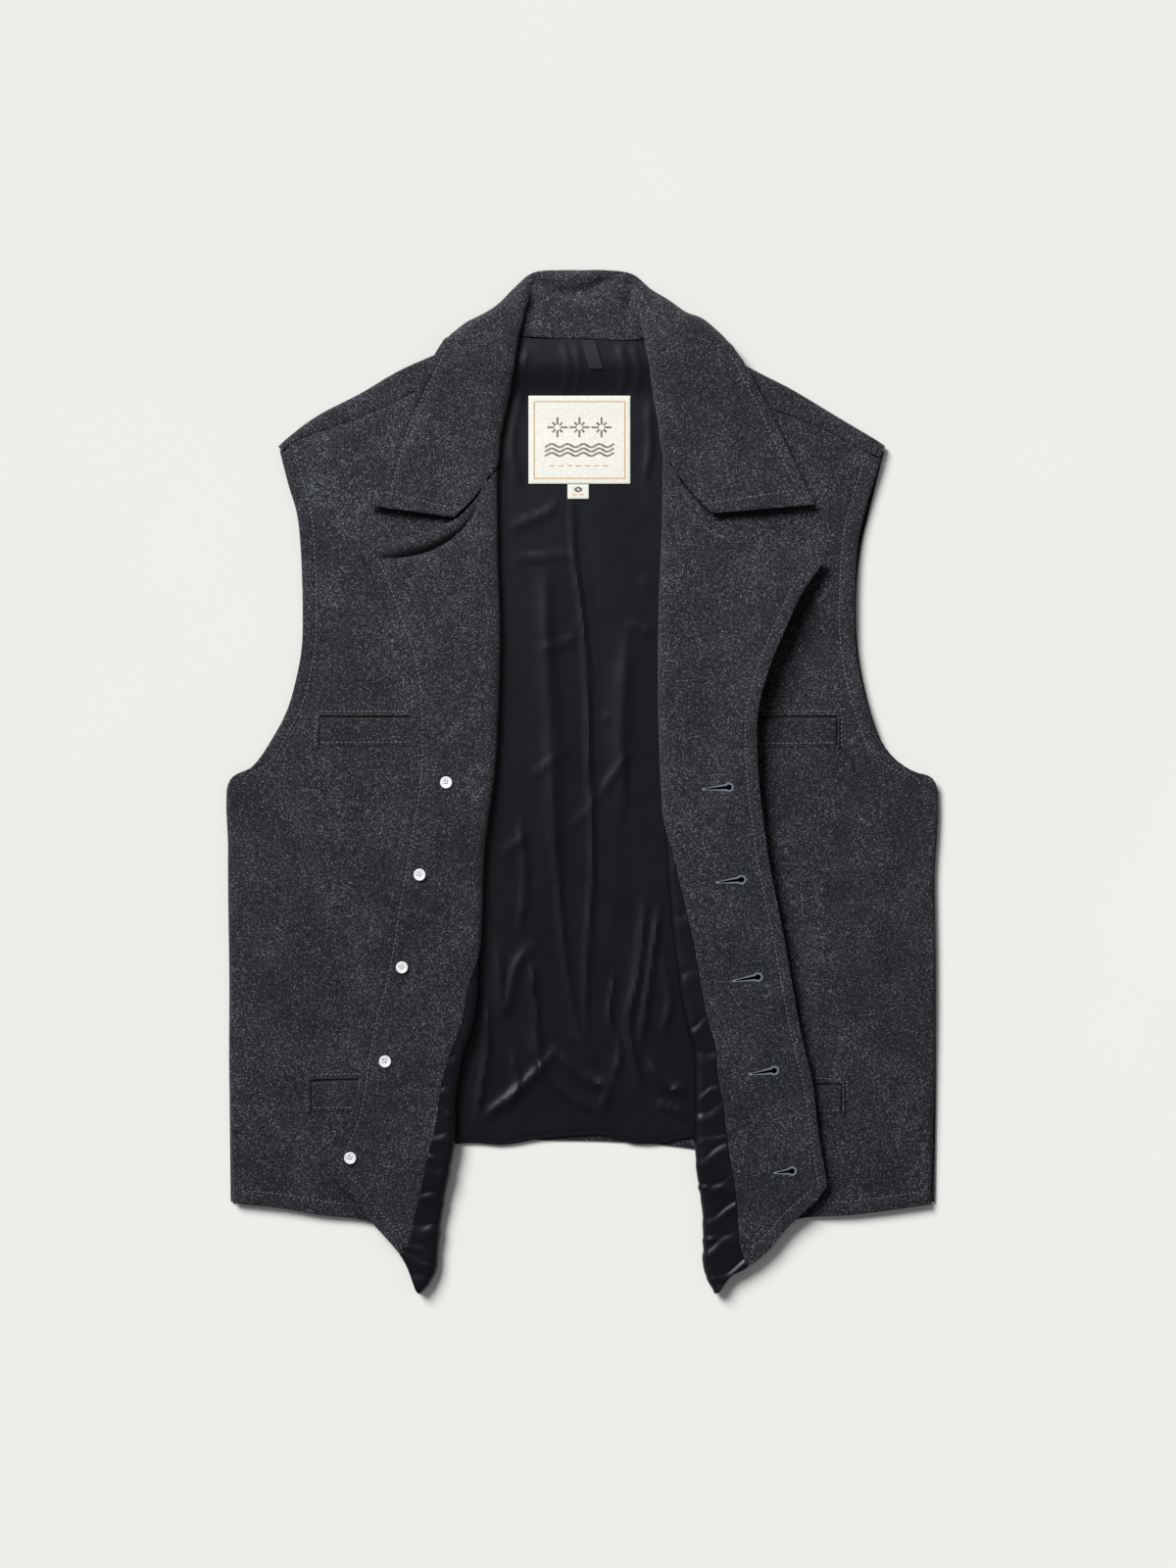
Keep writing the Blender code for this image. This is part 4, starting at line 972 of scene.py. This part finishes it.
def collar_surface():
    """The collar's middle surface: (grid, normals, cells), with columns from the neck to the outer edge."""
    grid = []
    for section in COLLAR:
        keys = np.array(collar_section(*section))
        first = 3 if np.allclose(keys[0], keys[3]) else 0
        line = [keys[3]] * sum(COLLAR_SPANS[:first])
        for k, count in list(enumerate(COLLAR_SPANS))[first:]:
            p, q = keys[k], keys[k + 1]
            before = keys[k - 1] if k > first else 2 * p - q
            after = keys[k + 2] if k + 2 < len(keys) else 2 * q - p
            line += [uneven_spline(before, p, q, after, t) for t in np.arange(count) / count]
        grid.append(line + [keys[-1]])
    between = 5
    grid = refined(np.array(grid), between, 0)
    cells = all_cells(grid)
    free = np.array([section[5] == 0 for section in COLLAR])
    cells[:, :STAND_COLUMNS] = ~np.repeat(free[:-1] | free[1:], between)[:, None]
    normals = grid_normals(grid, cells, (len(grid) // 2, 5))
    for _ in range(10):
        normals[1:-1] = normals[:-2] + 2 * normals[1:-1] + normals[2:]
        normals = unit(normals)
    return grid, normals, cells


def build_collar(looks, threads):
    grid, normals, cells = collar_surface()
    soft = creases(grid[..., 0], grid[..., 1], COLLAR_CREASES)[..., None]
    grid = grid + normals * soft * step(normals[..., 2:], 0.3, 0.8)
    # The points of the collar stand a little off the lapels, and the turned-under part rests on the surface.
    grid[..., 2] += 3.2 * (1 - step(grid[..., 1], 205, 252)) * step(np.abs(grid[..., 0]), 112, 142)
    grid[..., 2] = np.maximum(grid[..., 2], COLLAR_HALF * np.abs(normals[..., 2]))
    relief = sewn(distance_from(grid, from_end=True), COLLAR_STITCH) * step(np.abs(grid[:, -1:, 0]), 60, 105)
    inside = LAYER - COLLAR_CLOTH / 2
    top = sheet("top_collar", grid, normals, inside, COLLAR_HALF + relief, looks["wool"], cells, 0.4)
    under = sheet("under_collar", grid, normals, -COLLAR_HALF, -inside, looks["wool"], cells, 0.4)
    middle = len(grid) // 2
    for part in (slice(4, middle - 46), slice(middle + 46, -4)):
        threads.run(*walk(grid[part], normals[part], COLLAR_STITCH, True), COLLAR_HALF)
    for end in (3, -4):
        threads.run(*(refined(part[end, STAND_COLUMNS:-4], 2, 0) for part in (grid, normals)), COLLAR_HALF)
    for piece, name, rests in ((top, "top_collar", ["under_collar"]),
                               (under, "under_collar", ["front_right", "front_left", "back"])):
        finish_piece(piece, "wool", name, flat=(0.62, 0.13), area=cloth_area(grid, cells), rests=rests)


def lying(name, ends, tops, bottoms, height, low, high, material, columns, rows, edge=0.4, relief=None):
    """A flat strip that follows the height of the piece below it: (object, grid, normals)."""
    s, t = np.meshgrid(np.linspace(0, 1, columns), np.linspace(0, 1, rows))
    x = (1 - s) * ends[0] + s * ends[1]
    y = (1 - t) * ((1 - s) * bottoms[0] + s * bottoms[1]) + t * ((1 - s) * tops[0] + s * tops[1])
    grid = np.stack([x, y, height(x, y)], -1)
    up = upright(grid)
    return sheet(name, grid, up, low, high + (relief(s, t) if relief else 0), material, edge=edge), grid, up


def puffed(s, t):
    """The swell of a welt between its stitched ends and its stitched lower edge."""
    swell = 0.35 * np.sin(np.pi * np.clip(t, 0, 1)) * np.minimum(1, 14 * np.minimum(s, 1 - s))
    return swell - 1.55 * (1 - t) ** 1.5


def build_welts(looks, threads):
    """Welts over the pockets, each stitched down round a slit. In the slit lies a near-black sheet: the dark
    pocketing, with the slit's shade painted into its colour.
    """
    on_front = WOOL / 2 + GAP
    low = on_front - 0.2
    for name, (outer, inner, top0, bottom0, top1, bottom1) in WELTS.items():
        way = np.sign(outer)
        welt, grid, up = lying(name, (outer - way, inner), (top0 - 2, top1 - 2), (bottom0, bottom1),
                               body_height, low, WOOL * 1.5, looks["wool"], 40, 12, relief=puffed)
        lip, lip_grid, lip_up = lying(
            name.replace("welt", "lip"), (outer + way * 0.6, inner), (top0 + 2.4, top1 + 2.4),
            (top0 + 0.3, top1 + 0.3), body_height, low, WOOL * 1.25, looks["wool"], 40, 4, edge=0.7)
        end, _, _ = lying(
            name.replace("welt", "end"), (outer + way * 2.4, outer + way * 0.2), (top0 + 2.4, top0 + 2.4),
            (bottom0 - 1, bottom0 - 1), body_height, low, WOOL * 1.25, looks["wool"], 4, 14, edge=0.7)
        # A near-black sheet in the slit: the dark pocketing, with the slit's shade painted into its colour.
        slit_dark_and_shade, _, _ = lying(
            name.replace("welt", "slit_dark_and_shade"), (outer + way * 0.2, inner), (top0 + 0.3, top1 + 0.3),
            (bottom0 + 1, bottom1 + 1), body_height, low - 0.08, low - 0.02, looks["pocketing_and_painted_shade"], 40, 8, edge=0)
        threads.run(grid[0] * 0.86 + grid[-1] * 0.14, up[0], WOOL * 1.5 - 1.05)
        threads.run(lip_grid[-1] + (0, 1.6, 0), lip_up[-1], WOOL / 2)
        beside = np.array([(outer + way * 3.6, y, float(body_height(outer, y)))
                           for y in np.linspace(bottom0 - 1, top0 + 3, 12)])
        threads.run(beside, upright(beside), WOOL / 2)
        finish_piece(welt, "wool", name, flat=extent(grid), held="laid",
                     rests=["front_right" if outer < 0 else "front_left"])
        for piece, slot in ((lip, "wool"), (end, "wool"), (slit_dark_and_shade, "satin_lining")):
            finish_piece(piece, slot)


def lathe(name, rings, sides, material):
    """A turned solid from (radius, height) rings, which run from under its middle round to above it."""
    turns = np.arange(sides) * 2 * np.pi / sides
    points = [(radius * np.cos(a), radius * np.sin(a), height) for radius, height in rings for a in turns]
    last = (len(rings) - 1) * sides
    faces = [(r + k, r + (k + 1) % sides, r + sides + (k + 1) % sides, r + sides + k)
             for r in range(0, last, sides) for k in range(sides)]
    faces += [range(sides)[::-1], range(last, last + sides)]
    return mesh_object(name, points, faces, material)


def cut(body, cutters):
    """Cuts the cutters from the body for good and removes them."""
    for cutter in cutters:
        hole = body.modifiers.new("cut", "BOOLEAN")
        hole.operation = "DIFFERENCE"
        hole.solver = "EXACT"
        hole.object = cutter
    bpy.context.view_layer.update()
    made = bpy.data.meshes.new_from_object(body.evaluated_get(bpy.context.evaluated_depsgraph_get()))
    body.modifiers.clear()
    body.data = made
    for cutter in cutters:
        bpy.data.objects.remove(cutter)


def holed_button(name, radius, thick, hole, pitch, material):
    """A four-hole button with a raised rim and a dished middle."""
    body = lathe(name, [(r * radius, h * thick) for r, h in BUTTON_RINGS], 40, material)
    cutters = []
    for a in np.radians([45, 135, 225, 315]):
        cutter = lathe("hole", [(hole, -1), (hole, thick + 1)], 12, material)
        cutter.location = (pitch * np.cos(a) / MM, pitch * np.sin(a) / MM, 0)
        cutters.append(cutter)
    cut(body, cutters)
    return body


def build_buttons(looks, white_thread, dark_thread):
    """The front buttons under the right flap and the stay buttons on it, each sewn on with a cross."""
    for number, (x, y) in enumerate(STAY_BUTTONS, 1):
        base = float(front_height(x, y))
        turn = 0.3 + 1.1 * number
        for name, radius, thick, low, hole, pitch, look, thread in (
                (f"stay_button_{number}", 4.8, 1.8, base + FLAP_LIFT + FACING + 1.2, 0.5, 1.2, "white_button",
                 white_thread),
                (f"button_{number}", 10.0, 3.0, base + 1.2, 1.1, 2.3, "dark_button", dark_thread)):
            button = holed_button(name, radius, thick, hole, pitch, looks[look])
            button.location = (x / MM, y / MM, low / MM)
            button.rotation_euler = (0, 0, turn)
            finish_piece(button, look, name)
            middle = np.array([x, y, low + thick * 0.86])
            for a in (turn + np.pi / 4, turn + 3 * np.pi / 4):
                reach = pitch * np.array([np.cos(a), np.sin(a), 0])
                for shift in (-0.25, 0.25):
                    beside = shift * np.array([-np.sin(a), np.cos(a), 0])
                    thread.add(middle - reach + beside, middle + reach + beside, (0, 0, 1), 0.3, 0.0)


def build_buttonholes(shell, facing, threads):
    """Keyhole slits through the left flap, each rimmed with close stitches."""
    def flap_top(x, y):
        """The top of the facing above a point, found by looking straight down on it."""
        hit, place, _, _ = facing.ray_cast((x / MM, y / MM, 0.1), (0, 0, -1))
        return place[2] * MM if hit else float(front_height(x, y)) + FLAP_LIFT + FACING + WOOL / 2

    cutters = []
    for x0, y0, x1, y1 in BUTTONHOLES:
        along = unit(np.array([x1 - x0, y1 - y0], float))
        across = np.array([-along[1], along[0]])
        start, eye = np.array([x0, y0]) + along * 4, np.array([x1, y1]) - along * 5
        rays = [along * np.cos(a) + across * np.sin(a) for a in np.radians(np.linspace(-130, 130, 13))]
        ring = [start + across * 0.5, start - across * 0.5, eye - along * 2.2 - across * 1.2,
                *(eye + ray * 2.3 for ray in rays), eye - along * 2.2 + across * 1.2]
        count = len(ring)
        middle = flap_top(*eye) - 2
        points = [(*p, middle + height) for height in (-5, 6) for p in ring]
        faces = [range(count)[::-1], range(count, 2 * count)]
        faces += [[k, (k + 1) % count, (k + 1) % count + count, k + count] for k in range(count)]
        cutters.append(mesh_object("slit", points, faces, facing.data.materials[0]))

        stitches = []
        reach = np.linalg.norm(eye - along * 1.9 - start)
        for s in np.arange(0, reach, 0.62):
            half = 0.4 + 0.75 * s / reach
            wide = half + 0.7 + 1.1 * s / reach
            stitches += [(start + along * s + across * half * way, start + along * s + across * wide * way)
                         for way in (1, -1)]
        for a in np.radians(np.arange(-130, 131, 13)):
            ray = along * np.cos(a) + across * np.sin(a)
            stitches.append((eye + ray * 2.1, eye + ray * 4.1))
        for s in np.linspace(-0.9, 0.9, 5):
            stitches.append((start - along * 0.2 + across * s,
                             start - along * (4 - 1.2 * abs(s)) + across * s * 0.5))
        for p, q in stitches:
            threads.add((*p, flap_top(*p) + 0.1), (*q, flap_top(*q) + 0.05), (0, 0, 1), 0.36, 0.05)
    cut(shell, [link(cutter.copy()) for cutter in cutters])
    cut(facing, cutters)


def drawn(name, lines, height, half, thick, material):
    """Raised satin-stitch lines of one colour, as one mesh of short flat bars."""
    points, faces = [], []
    corners = np.array([(-1, -1), (1, -1), (1, 1), (-1, 1)])
    quads = [(3, 2, 1, 0), (4, 5, 6, 7)] + [(k, (k + 1) % 4, (k + 1) % 4 + 4, k + 4) for k in range(4)]
    for line in lines:
        spots = np.array(line, float)
        for start, end in zip(spots[:-1], spots[1:]):
            length = np.linalg.norm(end - start)
            along = (end - start) / length
            across = np.array([-along[1], along[0]])
            count = max(1, int(length / 0.55))
            for k in range(count):
                centre = start + (end - start) * (k + 0.5) / count
                base = len(points)
                for narrow, short, lift in ((1, 1, -0.1), (0.85, 0.6, thick)):
                    for a, b in corners * (short, narrow):
                        p = centre + along * a * length / count * 0.46 + across * b * half
                        points.append((*p, height(*p) + lift))
                faces += [[base + q for q in quad] for quad in quads]
    return mesh_object(name, points, faces, material)


def build_label(looks, edge_thread):
    """A cream woven label with a border line and a plain motif, and a size tab below it."""
    low = LINING + SATIN / 2 + GAP
    for name, ends, top_y, bottom_y, height, size, flat in (
            ("neck_label", (-43, 38), 307, 237, label_height, (34, 30), (0.081, 0.07)),
            ("size_tab", (-12, 5), 236.6, 225, back_height, (8, 6), (0.017, 0.0116))):
        piece, _, _ = lying(name, ends, (top_y, top_y), (bottom_y, bottom_y), height, low, low + 1,
                            looks["label"], *size)
        finish_piece(piece, "label_weave", name, flat=flat, held="laid", rests=["back_lining"])

    def top(x, y):
        return float(label_height(x, y)) + low + 1

    border = [(-38.5, 241.5), (33.5, 241.5), (33.5, 302.5), (-38.5, 302.5), (-38.5, 241.5)]
    stars = []
    for centre in (-20, -2.5, 15):
        for turn in range(8):
            ray = np.array([np.cos(turn * np.pi / 4), np.sin(turn * np.pi / 4)])
            stars.append([(centre, 282) + ray * reach for reach in (2.2, 5.6 if turn % 2 else 8)])
    waves = [[(x, y + 1.4 * np.sin((x + 2.5) * 0.5)) for x in np.arange(-30, 25.5, 1)]
             for y in (267.5, 264, 260.5)]
    dashes = [[(x, 251.5), (x + 4, 251.5)] for x in range(-26, 20, 7)]
    dashes += [border, [(-8, 228.5), (-4.5, 228.5)], [(-2.5, 228.5), (1, 228.5)]]
    diamond = [(-6.5, 232.6), (-3.5, 234.4), (-0.5, 232.6), (-3.5, 230.8), (-6.5, 232.6)]
    pieces = [drawn("label_border", dashes, top, 0.5, 0.12, looks["label_tan"]),
              drawn("label_motif", stars + waves + [diamond], top, 0.85, 0.14, looks["label_brown"])]
    for piece in pieces:
        finish_piece(piece, "label_weave")
    corners = np.array([(-42, 306), (37, 306), (37, 238), (-42, 238), (-42, 306)])
    for start, end in zip(corners[:-1], corners[1:]):
        line = np.array([(*p, top(*p)) for p in start + (end - start) * np.linspace(0, 1, 30)[:, None]])
        edge_thread.run(line, upright(line), 0, 1.6, 0.8, 0.2, 0.05)


def build_loop(looks):
    """The ribbed hanger loop, a slanting band that crosses the neck of the lining."""
    s, t = np.meshgrid(np.linspace(0, 1, 45), np.linspace(0, 1, 20))
    x, y = -1 + 11 * s + 6.5 * (1 - t), 328 + 22.5 * t
    middle = LINING + SATIN / 2 + GAP + 0.8
    grid = np.stack([x, y, back_height(x, y) + middle + 0.8 * np.sin(np.pi * t) ** 2], -1)
    ribs = 0.28 * np.abs(np.sin(np.pi * 6 * s)) - 0.1
    loop = sheet("hanger_loop", grid, upright(grid), -0.8, 0.6 + ribs, looks["cord"], edge=0.3)
    finish_piece(loop, "cord", "hanger_loop", flat=(0.011, 0.03), rests=["back_lining"])


def light(name, kind, energy, place):
    """A lamp that points at the middle of the vest."""
    data = bpy.data.lights.new(name, kind)
    data.energy = energy
    lamp = link(bpy.data.objects.new(name, data))
    lamp.location = place
    way = -unit(np.array(place))
    lamp.rotation_euler = (np.arccos(-way[2]), 0, np.arctan2(-way[0], way[1]))
    return lamp


def build_stage():
    """The pale surface, the soft daylight from the upper left, and the camera straight above."""
    look = Look("surface", Roughness=0.9)
    look.colour(look.noise(3, 2, 0.5), [(0.3, (0.87, 0.88, 0.845)), (0.7, (0.885, 0.895, 0.86))])
    size = 2500
    floor = mesh_object("floor", [(-size, -size, 0), (size, -size, 0), (size, size, 0), (-size, size, 0)],
                        [(0, 1, 2, 3)], look.material)
    scene = bpy.context.scene
    scene.view_settings.view_transform = "Standard"
    key = light("key", "SUN", 3.78, (-1.1, 1.27, 1.45))
    key.data.angle = np.radians(29)
    key.data.color = (1, 0.998, 0.99)
    wash = light("wash", "POINT", 60, (-0.4, 0.95, 0.8))
    wash.data.shadow_soft_size = 0.25
    # The wash lights the vest and not the surface.
    kept_out = bpy.data.collections.new("surface_only")
    kept_out.objects.link(floor)
    wash.light_linking.receiver_collection = kept_out
    kept_out.collection_objects[0].light_linking.link_state = "EXCLUDE"
    scene.world = scene.world or bpy.data.worlds.new("world")
    scene.world.use_nodes = True
    sky = scene.world.node_tree.nodes["Background"].inputs
    sky["Color"].default_value = (0.97, 0.98, 1, 1)
    sky["Strength"].default_value = 0.19
    data = bpy.data.cameras.new("camera")
    data.lens = 86.5
    scene.camera = link(bpy.data.objects.new("camera", data))
    scene.camera.location = (0.0043, -0.0016, 3.0)


def main():
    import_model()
    looks = {
        "wool": wool_material(),
        "satin": satin_material(),
        "label": woven_material("label_weave", (0.455, 0.446, 0.404), (0.545, 0.534, 0.494)),
        "label_tan": thread_material("label_tan", (0.50, 0.26, 0.06)),
        "label_brown": thread_material("label_brown", (0.035, 0.028, 0.024)),
        # Near-black pocketing, darker than the satin lining: the welt slits' shade is painted into it.
        "pocketing_and_painted_shade": thread_material("pocketing_with_painted_shade", (0.0014, 0.0016, 0.0024), 0.9),
        "cord": thread_material("cord", (0.002, 0.003, 0.009), 0.9),
        "white_button": button_material("white_button", (0.57, 0.58, 0.59), (0.63, 0.64, 0.65)),
        "dark_button": button_material("dark_button", (0.012, 0.011, 0.012), (0.05, 0.045, 0.042)),
    }
    wool_thread, pale_thread, white_thread, dark_thread, cream_thread = (Stitches() for _ in range(5))
    build_back(looks, wool_thread)
    build_back_lining(looks)
    build_front(RIGHT, "right", looks, wool_thread)
    shell, facing = build_front(LEFT, "left", looks, wool_thread)
    bpy.context.view_layer.update()
    build_buttonholes(shell, facing, pale_thread)
    build_collar(looks, wool_thread)
    build_welts(looks, wool_thread)
    build_buttons(looks, white_thread, dark_thread)
    build_label(looks, cream_thread)
    build_loop(looks)
    for stitches, name, colour, slot in (
            (wool_thread, "topstitching", (0.105, 0.115, 0.135), "wool"),
            (pale_thread, "buttonhole_stitching", (0.145, 0.175, 0.21), "wool"),
            (white_thread, "stay_button_thread", (0.66, 0.66, 0.66), "white_button"),
            (dark_thread, "button_thread", (0.03, 0.03, 0.035), "dark_button"),
            (cream_thread, "label_stitching", (0.62, 0.60, 0.54), "label_weave")):
        material = thread_material(name, colour)
        finish_piece(mesh_object(name, stitches.points, stitches.faces, material), slot)
    build_stage()


main()
